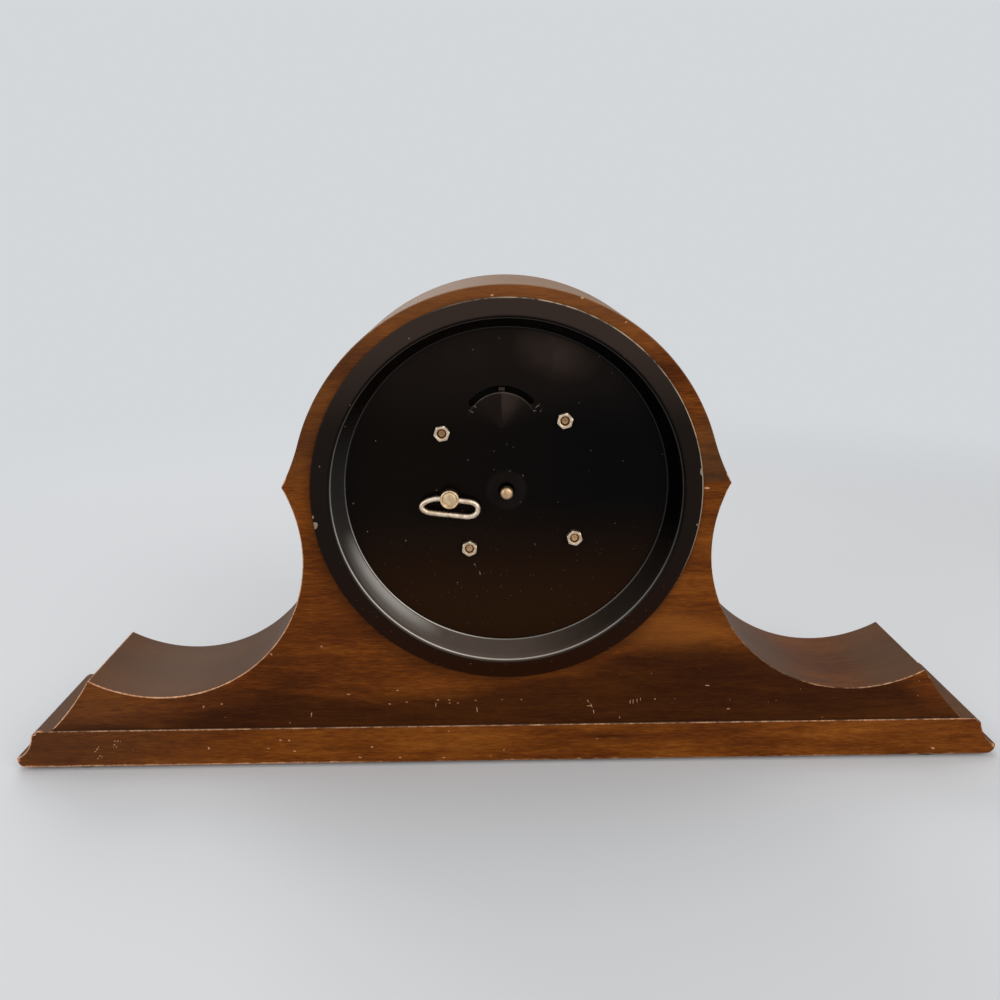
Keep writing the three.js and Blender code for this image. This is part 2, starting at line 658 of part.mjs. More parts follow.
function goingTrain() {
  const interLevel = thicker(LEVEL.great);
  const interLeaves = pinionLeaves(GREAT.leaves, GREAT.m, bearing(INTER_PLACE, WINDING));
  pinionArbor('intermediate_pinion', interLeaves, interLevel, ARBOR.inter, PIVOT.inter, INTER_PLACE);
  const interTeeth = wheelTeeth(INTER.teeth, INTER.m, bearing(INTER_PLACE, CENTRE));
  wheel('intermediate_wheel', interTeeth, ARBOR.inter + PLAY, LEVEL.inter, INTER_PLACE);

  const pipe = { bore: ARBOR.centre + 0.25, r: 1.25 };
  const centreLeaves = pinionLeaves(INTER.leaves, INTER.m, bearing(CENTRE, INTER_PLACE));
  const leafShape = outline(centreLeaves, [ring(CENTRE, pipe.bore, 8)]);
  const leaves = flat(leafShape, [LEVEL.inter[0] - 0.2, LEVEL.inter[1] + 0.3]);
  const sleeve = tube(pipe.bore, pipe.r, [LEVEL.inter[0], LEVEL.centre[1] + 0.5], 8);
  node(movement, 'center_pinion', 'steel', join(leaves, sleeve));
  const centreTeeth = wheelTeeth(CENTRE_MESH.teeth, CENTRE_MESH.m, bearing(CENTRE, THIRD));
  wheel('center_wheel', centreTeeth, pipe.r + PLAY, LEVEL.centre, CENTRE);

  const thirdLeaves = pinionLeaves(CENTRE_MESH.leaves, CENTRE_MESH.m, bearing(THIRD, CENTRE));
  pinionArbor('third_pinion', thirdLeaves, thicker(LEVEL.centre), ARBOR.train, PIVOT.train, THIRD);
  const thirdTeeth = wheelTeeth(THIRD_MESH.teeth, THIRD_MESH.m, bearing(THIRD, FOURTH));
  wheel('third_wheel', thirdTeeth, ARBOR.train + PLAY, LEVEL.third, THIRD);

  const fourthLeaves = pinionLeaves(THIRD_MESH.leaves, THIRD_MESH.m, bearing(FOURTH, THIRD));
  pinionArbor('fourth_pinion', fourthLeaves, thicker(LEVEL.third), ARBOR.train, PIVOT.train, FOURTH);
  const fourthTeeth = wheelTeeth(FOURTH_MESH.teeth, FOURTH_MESH.m, bearing(FOURTH, ESCAPE));
  wheel('fourth_wheel', fourthTeeth, ARBOR.train + PLAY, LEVEL.fourth, FOURTH);

  const escapeLeaves = pinionLeaves(FOURTH_MESH.leaves, FOURTH_MESH.m, bearing(ESCAPE, FOURTH));
  pinionArbor('escape_pinion', escapeLeaves, thicker(LEVEL.fourth), ARBOR.train, PIVOT.train, ESCAPE);
  const escapeTeeth = sawTeeth(ESCAPE_WHEEL);
  wheel('escape_wheel', escapeTeeth, ARBOR.train + PLAY, LEVEL.escape, ESCAPE);
}

// Pallet lever: two steel pins over the escape wheel and a fork towards the balance
function palletLever() {
  const ahead = radians(LEVER_BEARING) + Math.PI;
  const side = ahead + Math.PI / 2;
  const at = (forward, left) => polar(left, side, polar(forward, ahead));
  const arm = [[-2.9, 4.6], [-1.7, 4.6], [-1.2, 1.2]];
  const fork = [[1, 1.2], [1.6, 0.6], [7, 0.6], [8.1, 0.95], [8.1, 0.5], [7.3, 0.3]];
  const half = [...arm, ...fork];
  const left = half.map(([forward, aside]) => at(forward, aside));
  const right = half.map(([forward, aside]) => at(forward, -aside)).reverse();
  const shape = outline([...left, ...right]);
  const pinLevel = [LEVEL.escape[0] - 0.2, LEVEL.lever[1]];
  const pins = [1, -1].map((hand) => pin(0.3, pinLevel, 6, at(-2.3, hand * 4)));
  const lever = join(flat(shape, LEVEL.lever), pivoted(ARBOR.train, PIVOT.train), ...pins);
  node(movement, 'pallet_lever', 'steel', lever, on(PALLET));
}

// Balance on cone pivots between two cupped screws, with its flat hairspring
function balance() {
  const windows = [0.6, 0.6 + Math.PI].map(balanceWindow);
  const staffHole = ring(CENTRE, BALANCE_STAFF + PLAY, 8);
  const wheelShape = outline(ring(CENTRE, BALANCE_RIM.outer, 32), [staffHole, ...windows]);
  node(movement, 'balance_wheel', 'brass', flat(wheelShape, LEVEL.balance), on(BALANCE));

  const cup = 0.9;
  const [rearEnd, frontEnd] = [BACK_PLATE[1] + 1.7, FRONT_PLATE[0] - 1.6];
  const cupped = (far, near, bottom) => {
    const r = BALANCE_SCREW;
    return turned([[0, far], [r, far], [r, near], [cup, near], [0, bottom]], 10);
  };
  const rearScrew = cupped(BACK_PLATE[0] - 1.8, rearEnd, rearEnd - cup);
  const frontScrew = cupped(FRONT_PLATE[1] + 1.1, frontEnd, frontEnd + cup);
  node(movement, 'balance_screw_rear', 'steel', rearScrew, on(BALANCE));
  node(movement, 'balance_screw_front', 'steel', frontScrew, on(BALANCE));

  const tipGap = 0.3;
  const rollerLevel = [LEVEL.lever[1] + 0.3, LEVEL.lever[1] + 0.9];
  const staff = [
    [0, rearEnd - cup + tipGap],
    [BALANCE_STAFF, rearEnd - cup + tipGap + BALANCE_STAFF],
    [BALANCE_STAFF, rollerLevel[0]],
    [ROLLER.r, rollerLevel[0]],
    [ROLLER.r, rollerLevel[1]],
    [BALANCE_STAFF, rollerLevel[1]],
    [BALANCE_STAFF, frontEnd + cup - tipGap - BALANCE_STAFF],
    [0, frontEnd + cup - tipGap],
  ];
  const impulseLevel = [LEVEL.lever[0] - 0.2, rollerLevel[0] + 0.1];
  const impulsePin = pin(0.3, impulseLevel, 6, polar(ROLLER.pin, radians(LEVER_BEARING)));
  node(movement, 'balance_staff', 'steel', join(turned(staff, 10), impulsePin), on(BALANCE));

  const end = bearing(BALANCE, HAIRSPRING_STUD);
  const studRadius = distance(BALANCE, HAIRSPRING_STUD);
  const coil = flat(outline(spiral(1.5, studRadius, 4, 0.3, 56, end)), LEVEL.hairspring);
  const collet = tube(BALANCE_STAFF + PLAY, 1.7, LEVEL.hairspring, 10);
  const stud = pin(STUD_PIN, [BACK_PLATE[0], LEVEL.hairspring[1]], 6, polar(studRadius, end));
  node(movement, 'hairspring', 'blued', join(coil, collet, stud), on(BALANCE));
}

// One of the two openings beside the balance's arm
function balanceWindow(from) {
  const outer = arc(CENTRE, BALANCE_RIM.inner, from + 0.16, from + Math.PI - 0.16, 10);
  const inner = arc(CENTRE, 2.2, from + Math.PI - 0.6, from + 0.6, 4);
  return [...outer, ...inner];
}

// Regulator lever round the rear balance screw, its tab bent back into the cover's slot
function regulator() {
  const [half, tip] = [TAB.wide / 2, SLOT.r + TAB.thick / 2];
  const eye = flat(outline(ring(CENTRE, 3.6, 16), [ring(CENTRE, BALANCE_SCREW + 0.3, 10)]), LEVEL.regulator);
  const arm = flat(outline([[-half, 3], [half, 3], [half, tip], [-half, tip]]), LEVEL.regulator);
  const root = SLOT.r - TAB.thick / 2;
  const square = [[-half, root], [half, root], [half, tip], [-half, tip]];
  const tab = flat(outline(square), [DISC_DEPTH + 0.3, LEVEL.regulator[1]]);
  node(movement, 'regulator_lever', 'steel', join(eye, arm, tab), on(BALANCE));
}

// Centre arbor with the hand-setting stem, and the friction spring that drives it
function centreArbor() {
  const end = DISC_DEPTH - STEM.proud;
  const shoulder = BACK_PLATE[0] - 1.6;
  const tip = MINUTE_HAND.front + 1.7;
  const profile = [
    [0, end],
    [STEM.r - 1.15, end + 0.15],
    [STEM.r - 0.3, end + 0.6],
    [STEM.r, end + 1.4],
    [STEM.r, end + STEM.head],
    [STEM.neck, end + STEM.head + 0.4],
    [STEM.neck, shoulder],
    [ARBOR.centre, shoulder],
    [ARBOR.centre, tip],
    [0, tip],
  ];
  node(movement, 'center_arbor', 'nickel', turned(profile, 12));
  const star = outline(toothed(3, 5.4, 2, 0.5), [ring(CENTRE, ARBOR.centre + PLAY, 8)]);
  node(movement, 'friction_spring', 'steel', flat(star, [LEVEL.centre[1] + 0.7, LEVEL.centre[1] + 1.2]));
}

// Motion work: cannon pinion, minute wheel and hour wheel, twelve to one
function motionWork() {
  const { m, cannon, minute, leaves, hour } = MOTION;
  const bore = ARBOR.centre + PLAY;
  const towardMinute = bearing(CENTRE, MINUTE_PLACE);
  const towardCentre = bearing(MINUTE_PLACE, CENTRE);
  const cannonShape = outline(pinionLeaves(cannon, m, towardMinute), [ring(CENTRE, bore, 8)]);
  const cannonPipe = tube(bore, CANNON_PIPE, [LEVEL.cannon[0], MINUTE_HAND.front], 8);
  node(movement, 'cannon_pinion', 'steel', join(flat(cannonShape, LEVEL.cannon), cannonPipe));

  const postHole = [ring(CENTRE, MINUTE_POST + PLAY, 8)];
  const minuteTeeth = flat(outline(wheelTeeth(minute, m, towardCentre), postHole), LEVEL.minute);
  const minuteLeaves = outline(pinionLeaves(leaves, m, towardCentre), postHole);
  const stack = join(minuteTeeth, flat(minuteLeaves, [LEVEL.minute[0], LEVEL.leaves[1]]));
  node(movement, 'minute_wheel', 'brass', stack, on(MINUTE_PLACE));
  const post = pin(MINUTE_POST, [FRONT_PLATE[0], LEVEL.leaves[1] + 0.6], 8);
  node(movement, 'minute_wheel_post', 'steel', post, on(MINUTE_PLACE));

  const hourShape = outline(wheelTeeth(hour, m, towardMinute), [ring(CENTRE, HOUR_PIPE.bore, 8)]);
  const hourPipe = tube(HOUR_PIPE.bore, HOUR_PIPE.r, [LEVEL.hour[0], HOUR_HAND.front + 0.2], 8);
  node(movement, 'hour_wheel', 'brass', join(flat(hourShape, LEVEL.hour), hourPipe));
}

// A spade hand on a round boss
function hand(name, { length, turn, back, front }, boss, hole) {
  const ahead = radians(90 - turn);
  const side = ahead + Math.PI / 2;
  const at = ([forward, aside]) => polar(aside, side, polar(forward, ahead));
  const edge = [[0, 1.1], [0.6 * length, 0.8], [0.74 * length, 2.4], [0.86 * length, 0.9]];
  const other = edge.map(([forward, aside]) => [forward, -aside]).reverse();
  const blade = outline([...edge, [length, 0], ...other].map(at));
  const level = [back, front];
  const plate = join(flat(blade, level), pin(boss, level, 14));
  node(movement, name, 'blued', cut(plate, pin(hole, [back - 1, front + 1], 10)));
}

function hands() {
  hand('hour_hand', HOUR_HAND, 4, HOUR_PIPE.r + PLAY);
  hand('minute_hand', MINUTE_HAND, 3.2, CANNON_PIPE + PLAY);
  const level = [MINUTE_HAND.front + 0.3, MINUTE_HAND.front + 1.5];
  node(movement, 'hand_nut', 'gilt', tube(ARBOR.centre + PLAY, 2, level, 10));
}

caseBody();
plinth();
plinthScrews();
feltPads();
backCover();
nuts();
pillars();
plates();
bezelAndDial();
barrelAndWinding();
clickWork();
windingKey();
goingTrain();
palletLever();
balance();
regulator();
centreArbor();
motionWork();
hands();

export default clock;
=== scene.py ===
"""Tambour mantel clock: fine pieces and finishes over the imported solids, seen from behind."""
import json
from math import asin, atan2, cos, dist, hypot, pi, radians, sin, sqrt, tau

import bmesh
import bpy
from mathutils import Matrix, Quaternion, Vector
from mathutils.geometry import delaunay_2d_cdt


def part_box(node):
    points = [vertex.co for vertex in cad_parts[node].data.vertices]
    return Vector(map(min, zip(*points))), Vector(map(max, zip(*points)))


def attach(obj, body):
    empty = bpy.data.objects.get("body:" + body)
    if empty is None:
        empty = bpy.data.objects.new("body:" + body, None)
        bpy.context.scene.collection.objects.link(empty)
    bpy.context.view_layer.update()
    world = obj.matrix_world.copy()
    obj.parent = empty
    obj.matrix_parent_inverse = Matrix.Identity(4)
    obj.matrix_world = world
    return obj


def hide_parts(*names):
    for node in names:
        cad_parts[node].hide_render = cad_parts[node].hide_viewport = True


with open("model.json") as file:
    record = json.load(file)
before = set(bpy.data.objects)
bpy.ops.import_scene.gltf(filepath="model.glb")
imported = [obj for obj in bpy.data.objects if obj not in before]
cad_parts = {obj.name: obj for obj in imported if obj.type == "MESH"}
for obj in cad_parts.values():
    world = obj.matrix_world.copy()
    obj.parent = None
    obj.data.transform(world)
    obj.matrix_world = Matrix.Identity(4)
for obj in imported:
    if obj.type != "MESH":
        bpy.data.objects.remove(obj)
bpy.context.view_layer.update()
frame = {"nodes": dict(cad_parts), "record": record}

# Places in millimetres: b is the depth forward from the wooden back
MM = 0.001
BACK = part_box("case_body")[1].y / MM
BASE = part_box("plinth")[0].z / MM
COVER_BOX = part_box("back_cover")
DIAL = (COVER_BOX[0].z + COVER_BOX[1].z) / 2 / MM
RECORD = frame["record"]
BODY_OF = {node: body for body, nodes in RECORD["behaviour"]["bodies"].items() for node in nodes}
SLOT_OF = {part["node"]: part["material_slot"] for part in RECORD["subparts"]}

# Case and plinth, heights from the underside of the plinth
BODY_DEPTH = 47
PLINTH_HEIGHT = 15.4
CASE_BASE = 15.5
FOOT = (175.9, CASE_BASE)
SHOULDER = (159.5, 36.1)
EAR = (81, 110.8)
SWEEP_RADIUS = 56.7
CROWN = (0, 103.8)
CROWN_RADIUS = 77.6
CROWN_RISE = 1.6
FLARE_RADIUS = 83
END_HOLLOW = 1.2
BORE_RADIUS = 66
BORE_SIDES = 160
ARRIS = 0.45
ARRIS_HOLD = 1.3
PLINTH_HALF = 180.6
PLINTH_FRONT = 48.4
PLINTH_REAR = -0.6
UNDER_OUT = 4.7
SCREW_X = 95
SCREW_DEPTH = 23.5
SCREW_HOLE_SIDES = 32
PADS = [(-165, 10), (165, 10), (-165, 44), (165, 44)]

# Cover, key and nuts, places as (x, z) from the dial centre
STUDS = [(23.4, 21.9), (-21.3, 26.1), (14.05, -22), (-25.3, -18.3)]
NUT_TURNS = [49, 45, 36, 15]
NUT_FLATS = 5.4
NUT_SIDES = 96
WINDING = (21, -2.1)
BALANCE = (1.5, 23.2)
SLOT_RADIUS = 14.45
SLOT_HALF = 1.2
SLOT_SPAN = (40, 137)
DISC_DEPTH = 9.9
DISC_INSIDE = 10.8
STUD_HOLE = 1.75
KEY_HOLE = 2.6
STEM_HOLE = 3
CONE_RADIUS = 13.3
CONE_RISE = 0.6
BOSS_RADIUS = 7.4
BOSS_SLOPE = 1.2
BOSS_RISE = 0.3
BAIL_TILT = 7
BAIL_DEPTH = 6.45
BAIL_LOWER = 0.3
BAIL_WIRE = 1.05
BAIL_SIDES = 20
BAIL_ROOM = 0.15

# Dial and hands
DIAL_TOP = 48.4
PRINT_TOP = 48.44
NUMERAL_SIZE = 12.5
NUMERAL_RADIUS = 41
NUMERAL_WIDTH = 0.82
HOUR_TURN = 304.5
MINUTE_TURN = 54

# Stage
FLOOR_RADIUS = 1500
FLOOR_SIDES = 64
LIGHT_AIM = (0, 0, 0.09)
CAMERA_PLACE = (6.17, 321.34, 194.22)
CAMERA_TURN = (0.642, 15.458, -0.512)
CAMERA_LENS = 33.3
CAMERA_SENSOR = 36

# Points closer than this, in metres, are one
WELD = 1e-7
# A turned radius below this is a pole
POLE = 1e-6


def srgb(*parts):
    """A colour given in 0 to 255 as a linear shader colour."""
    shares = [part / 255 for part in parts]
    return (*(c / 12.92 if c <= 0.04045 else ((c + 0.055) / 1.055) ** 2.4 for c in shares), 1)


def add_node(tree, kind, inputs=None, **settings):
    """A new shader node with its settings, each input linked or given its value."""
    made = tree.nodes.new("ShaderNode" + kind)
    for key, value in settings.items():
        setattr(made, key, value)
    for socket, value in (inputs or {}).items():
        if isinstance(value, bpy.types.NodeSocket):
            tree.links.new(value, made.inputs[socket])
        else:
            made.inputs[socket].default_value = value
    return made


class Paint:
    """A node material whose colour is laid on coat by coat, with places and radii in metres."""

    def __init__(self, name, shader):
        self.material = bpy.data.materials.new(name)
        self.material.use_nodes = True
        self.tree = self.material.node_tree
        self.shader = self.tree.nodes["Principled BSDF"]
        for socket, value in shader.items():
            self.shader.inputs[socket].default_value = value
        self.colour = None
        self.place = self.node("TexCoord").outputs["Object"]
        self.x, self.y, self.z = self.split(self.place)

    def node(self, kind, inputs=None, **settings):
        return add_node(self.tree, kind, inputs, **settings)

    def split(self, vector):
        return self.node("SeparateXYZ", {0: vector}).outputs

    def normal(self):
        return self.split(self.node("NewGeometry").outputs["Normal"])

    def attribute(self, name, output="Fac"):
        return self.node("Attribute", attribute_name=name).outputs[output]

    def math(self, operation, *values):
        return self.node("Math", dict(enumerate(values)), operation=operation).outputs[0]

    def fold(self, operation, values):
        """The values joined one after another by an operation."""
        total = values[0]
        for value in values[1:]:
            total = self.math(operation, total, value)
        return total

    def add(self, *values):
        return self.fold("ADD", values)

    def times(self, *values):
        return self.fold("MULTIPLY", values)

    def most(self, *values):
        return self.fold("MAXIMUM", values)

    def step(self, value, low, high):
        """Rises smoothly from 0 at low to 1 at high; falls if low is the larger."""
        inputs = {"Value": value, "From Min": low, "From Max": high}
        return self.node("MapRange", inputs, interpolation_type="SMOOTHSTEP").outputs[0]

    def band(self, value, low, full, still, end):
        """Rises from 0 at low to 1 at full, and falls from 1 at still to 0 at end."""
        return self.times(self.step(value, low, full), self.step(value, end, still))

    def spread(self, value, low, high):
        """Takes 0 to 1 onto low to high."""
        return self.node("MapRange", {"Value": value, "To Min": low, "To Max": high}).outputs[0]

    def shaken(self, value, noise, share):
        """A value made uneven by a share of a noise."""
        return self.add(value, self.times(self.add(noise, -0.5), share))

    def noise(self, scale, detail=3, rough=0.6, bend=0, vector=None):
        """Noise with one scale per metre, or one for each axis."""
        scales = scale if isinstance(scale, tuple) else (scale, scale, scale)
        stretched = self.node("Mapping", {"Vector": vector or self.place, "Scale": scales}).outputs[0]
        inputs = {"Vector": stretched, "Scale": 1, "Detail": detail, "Roughness": rough, "Distortion": bend}
        return self.node("TexNoise", inputs).outputs[0]

    def ramp(self, value, stops):
        made = self.node("ValToRGB", {0: value})
        marks = made.color_ramp.elements
        while len(marks) < len(stops):
            marks.new(1)
        for mark, (where, colour) in zip(marks, stops):
            mark.position = where
            mark.color = colour
        return made.outputs[0]

    def mix(self, share, first, second):
        return self.node("Mix", {0: share, 6: first, 7: second}, data_type="RGBA").outputs[2]

    def lay(self, tint, *masks):
        """Lays a tint over the colour so far, where the masks multiplied together let it show."""
        self.colour = self.mix(self.times(*masks), self.colour, tint)

    def spot(self, x, z, half_wide, half_high, turn=0, soft=0.5):
        """A mask over an ellipse in the plane of the back, in millimetres and degrees."""
        inputs = {
            "Vector": self.place,
            "Location": (x * MM, 0, z * MM),
            "Rotation": (0, -radians(turn), 0),
            "Scale": (half_wide * MM, 1, half_high * MM),
        }
        inside = self.node("Mapping", inputs, vector_type="TEXTURE").outputs[0]
        near = self.node("TexGradient", {"Vector": inside}, gradient_type="SPHERICAL").outputs["Fac"]
        return self.step(near, 0, soft)

    def spots(self, places, rise, soft):
        """One mask over many ellipses, each taken in before the next is made."""
        total = 0
        for x, z, *form in places:
            total = self.math("MAXIMUM", self.spot(x, rise + z, *form, soft), total)
        return total

    def offset(self, x, z):
        """Distances across and up from a place given in millimetres from the dial centre."""
        return self.math("SUBTRACT", self.x, x * MM), self.math("SUBTRACT", self.z, (DIAL + z) * MM)

    def radius(self, x=0, z=0):
        across, up = self.offset(x, z)
        return self.math("SQRT", self.add(self.math("POWER", across, 2), self.math("POWER", up, 2)))

    def turn(self, x=0, z=0):
        across, up = self.offset(x, z)
        return self.math("ARCTAN2", up, across)

    def specks(self, scale, size, rarity):
        """Small round dots, one in some of the cells of a scattered grid."""
        cells = self.node("TexVoronoi", {"Vector": self.place, "Scale": scale})
        chance = self.node("SeparateColor", {0: cells.outputs["Color"]}).outputs[0]
        dot = self.step(cells.outputs["Distance"], size, size * 0.6)
        return self.times(dot, self.step(chance, rarity, rarity + 0.01))

    def finish(self, rough=None, height=None, relief=0, strength=0):
        """Links the colour, and the roughness and the relief where they are given."""
        self.tree.links.new(self.colour, self.shader.inputs["Base Color"])
        if rough is not None:
            self.tree.links.new(rough, self.shader.inputs["Roughness"])
        if height is not None:
            bump = self.node("Bump", {"Height": height, "Distance": relief, "Strength": strength})
            self.tree.links.new(bump.outputs[0], self.shader.inputs["Normal"])
        return self.material


# Small marks in the varnish of the back, as (x, height, half width, half height, turn)
NICKS = [
    (150.7, 12.4, 0.7, 0.24, -40), (159, 9.1, 0.7, 0.26, -50), (158.3, 6.2, 0.7, 0.22, -50),
    (116, 8.7, 0.5, 0.8, -20), (151.8, 12.5, 0.6, 0.22, -45), (149.6, 12.3, 0.5, 0.22, -45),
    (152.2, 10.9, 0.6, 0.24, -40), (152.6, 9.8, 0.5, 0.22, -45), (151.5, 10, 0.5, 0.2, -45),
    (158.4, 10, 0.5, 0.2, -50), (159.8, 8.1, 0.6, 0.22, -30), (159.2, 5, 0.6, 0.2, -50),
    (157.6, 5.7, 0.5, 0.2, -45), (84.9, 11.7, 0.8, 0.5, 40), (88.2, 11.8, 0.7, 0.4, 0),
    (83.1, 7, 0.8, 0.4, 15), (116.6, 26.3, 0.5, 0.9, 15), (109.7, 27.3, 0.7, 0.4, 0),
    (75.7, 22.3, 0.3, 1.5, 8), (89.3, 47.7, 0.8, 0.5, 45), (-76.2, 32.2, 1.1, 0.35, 5),
    (-84.9, 22.2, 0.9, 0.35, 0), (-165.9, 4.2, 1.3, 0.5, 20), (4.7, 179.1, 0.8, 0.5, 0),
    (-26, 177.8, 0.8, 0.6, -20), (-41.2, 169.6, 0.7, 0.45, -30), (-72, 110.4, 1.5, 0.55, 5),
    (61, 30.6, 1.1, 0.3, 4), (-31, 24.3, 1.3, 0.3, -3), (45.6, 26.3, 0.8, 0.3, 10),
    (38.9, 27, 0.7, 0.3, -15), (27.9, 25.5, 0.22, 1.5, 3), (27, 27.7, 0.6, 0.3, 0),
    (22.6, 27.6, 0.7, 0.3, 20), (19.4, 26.3, 0.6, 0.3, 0), (12.1, 23.4, 0.22, 1.7, -4),
    (12.6, 27.3, 0.6, 0.3, 12), (84.2, 18.9, 0.6, 0.3, 0), (53, 8.3, 0.8, 0.3, 6),
    (93.1, 8.3, 0.6, 0.3, -10), (42.3, 32, 0.6, 0.25, 0), (70.1, 50.5, 0.7, 0.35, 30),
    (57.9, 3.9, 0.9, 0.3, 5), (42.4, 3.6, 0.8, 0.3, 0), (25.4, 3.3, 0.9, 0.3, -6),
    (-30.5, 26.4, 0.22, 1.0, -28), (-31.9, 24.4, 0.22, 1.3, -20), (-32.8, 21.8, 0.2, 1.3, -8),
    (-46.8, 25.9, 0.18, 1.3, 4), (-47.9, 25.8, 0.18, 1.5, 0), (-49.4, 26, 0.18, 1.6, -4),
    (-50.7, 26.8, 0.18, 0.9, 0), (-56.3, 26.8, 0.45, 0.4, 0), (-42.9, 19.2, 0.25, 0.6, 0),
    (-34.3, 10.5, 0.5, 0.4, 0), (22.6, 26.3, 0.5, 0.35, 0), (2.4, 27.5, 0.5, 0.3, 0),
    (-4.9, 27.4, 0.5, 0.4, 0), (1.9, 6.3, 0.35, 0.7, 15), (23.1, 14.7, 0.5, 0.35, 0),
    (7.1, 3.7, 0.5, 0.4, 0),
]
# Upper edge of the painted shadow low on the back, as (x, height)
SHADOW_EDGE = [
    (-190, 21), (-162, 25), (-146, 34), (-130, 46), (-90, 48), (-75, 50), (-57, 48), (-40, 44), (-25, 40),
    (-12, 38), (11, 32), (34, 29), (65, 28), (87, 30), (105, 27), (125, 21), (150, 18), (190, 17),
]


def walnut():
    p = Paint("walnut", {"IOR": 1.5, "Specular IOR Level": 0.04})
    grain = p.attribute("grain", "Vector")
    figure = p.noise((9, 58, 58), 4, 0.6, 0.6, grain)
    streaks = p.noise((42, 420, 420), 4, 0.65, 0.3, grain)
    flecks = p.noise((210, 2100, 2100), vector=grain)
    pores = p.noise((300, 3800, 3800), 2, vector=grain)
    blotch = p.noise((13, 20, 24), 3, 0.55)
    tone = p.add(p.times(figure, 0.3), p.times(streaks, 0.2), p.times(flecks, 0.26), p.times(blotch, 0.24))
    p.colour = p.ramp(tone, [
        (0.39, srgb(64, 29, 7)),
        (0.46, srgb(87, 42, 11)),
        (0.51, srgb(105, 54, 14)),
        (0.56, srgb(122, 66, 19)),
        (0.64, srgb(146, 86, 30)),
    ])
    p.lay(srgb(48, 22, 9), p.step(pores, 0.56, 0.7), 0.34)

    # Golden and dull zones, painted shade over the upper left of the arch, a painted reflection across the
    # right ear, a painted sheen on the paler crest, and painted shadow low on the back and round the cover
    rear = p.step(p.y, (BACK - 0.7) * MM, (BACK - 0.4) * MM)
    p.lay(srgb(140, 82, 32), p.spot(-60, 55, 42, 15, 8, 0.9), 0.4)
    # Painted shade: the upper left of the arch darker
    p.lay(srgb(58, 40, 28), p.step(p.x, 0.02, 0.06), p.band(p.z, 0.100, 0.130, 0.160, 0.176), 0.45)
    # A painted reflection: a darker stretch across the upper part of the right ear
    ear_reflection = p.times(p.step(p.x, -0.064, -0.071), p.band(p.z, 0.1120, 0.1135, 0.120, 0.150), rear)
    p.lay(srgb(58, 44, 30), ear_reflection, 0.6)
    p.lay(srgb(76, 50, 32), p.step(p.x, 0.09, 0.17), p.step(p.z, 0.05, 0.03), rear, 0.42)
    # A painted sheen: the crest paler
    p.lay(srgb(134, 90, 56), p.step(p.z, 0.150, 0.180), 0.32)
    # Painted shadow low on the back under the given edge, and a painted shadow falling down round the cover
    left, right = SHADOW_EDGE[0][0], SHADOW_EDGE[-1][0]
    stops = [((x - left) / (right - left), [height / 100] * 3 + [1]) for x, height in SHADOW_EDGE]
    edge = p.ramp(p.add(p.times(p.x, 1 / ((right - left) * MM)), 0.5), stops)
    under = p.shaken(p.add(p.z, p.times(edge, -0.1)), figure, 0.014)
    low = p.times(p.step(under, 0.005, -0.005), p.step(p.z, 0.0165, 0.0172), rear)
    dark_line = p.spot(-38, 11.6, 15, 1, 0, 0.9)
    cover_shadow = p.spot(1.5, DIAL - 4, 75, 75, 0, 0.1)
    dark = p.most(p.times(low, 0.8), p.times(dark_line, 0.7), p.times(cover_shadow, rear, 0.5))
    p.lay(srgb(35, 14, 4), dark, p.spread(blotch, 0.7, 1.15))

    # Dust and a painted sheen on what looks up, paler on the crown, thinner along a stretch of one sweep
    mottle = p.noise((24, 60, 24), 4, 0.65)
    dust_and_sheen_patches = p.spread(p.add(p.times(mottle, 0.55), p.times(streaks, 0.45)), 0.3, 1.5)
    wiped = p.band(p.x, -0.150, -0.130, -0.118, -0.105)
    lying = p.times(p.step(p.normal()[2], 0.05, 0.6), p.math("MINIMUM", dust_and_sheen_patches, 1))
    dust_and_sheen = p.times(lying, p.spread(wiped, 0.85, 0.4))
    p.lay(p.mix(p.step(p.z, 0.1, 0.17), srgb(89, 68, 52), srgb(146, 120, 98)), dust_and_sheen)

    # Bare wood at rubbed edges, nicks and dots
    wear = p.attribute("wear")
    rubbed = p.step(p.shaken(wear, p.noise(210, 4, 0.7), 1.3), 0.35, 0.75)
    rubbed = p.times(rubbed, p.step(wear, 0.02, 0.2), p.spread(wear, 0.5, 1))
    chipped = p.noise(900, 2)
    marks = p.step(p.shaken(p.spots(NICKS, 0, 0.6), chipped, 1.2), 0.45, 0.7)
    dots = p.times(p.specks(330, 0.075, 0.86), p.step(p.z, 0.05, 0.03), rear)
    bare = p.most(rubbed, p.times(marks, rear, 0.62), p.times(dots, 0.45))
    p.lay(p.ramp(chipped, [(0.35, srgb(176, 120, 84)), (0.65, srgb(226, 176, 138))]), bare)

    rough = p.add(0.34, p.times(streaks, 0.16), p.times(dust_and_sheen, 0.12), p.times(bare, 0.25))
    height = p.add(p.times(streaks, 0.5), p.times(pores, -0.4))
    return p.finish(rough, height, 0.0002, 0.25)


# Scuffs and chips in the cover's enamel, as (x, z) from the dial centre, half sizes and turn
SCUFFS = [
    (12.6, 29.6, 1.3, 0.35, 30), (11.2, 31.4, 0.9, 0.3, 50), (-11.4, 31.2, 1.5, 0.3, -35),
    (-12.8, 29.9, 1.2, 0.3, -60), (-10.4, 29.6, 1.0, 0.3, -10), (-1.3, 7.3, 0.75, 0.22, -30),
    (-6.1, 5.4, 0.22, 0.75, -15), (12.1, -29.2, 1.3, 0.3, 60), (10.3, -32.4, 0.35, 1.4, -10),
    (-30.5, 6.9, 0.2, 0.6, 12), (-5.2, -4.6, 0.4, 0.2, 0), (-10.6, -21.3, 0.16, 0.7, -12),
]
CHIPS = [
    (69.6, -9.6, 1.5, 2.0, 20), (-70, 8.7, 1.3, 2.2, -8), (70.1, -6.4, 0.5, 0.9, 0),
    (-68.9, -11, 0.35, 0.5, 0),
]


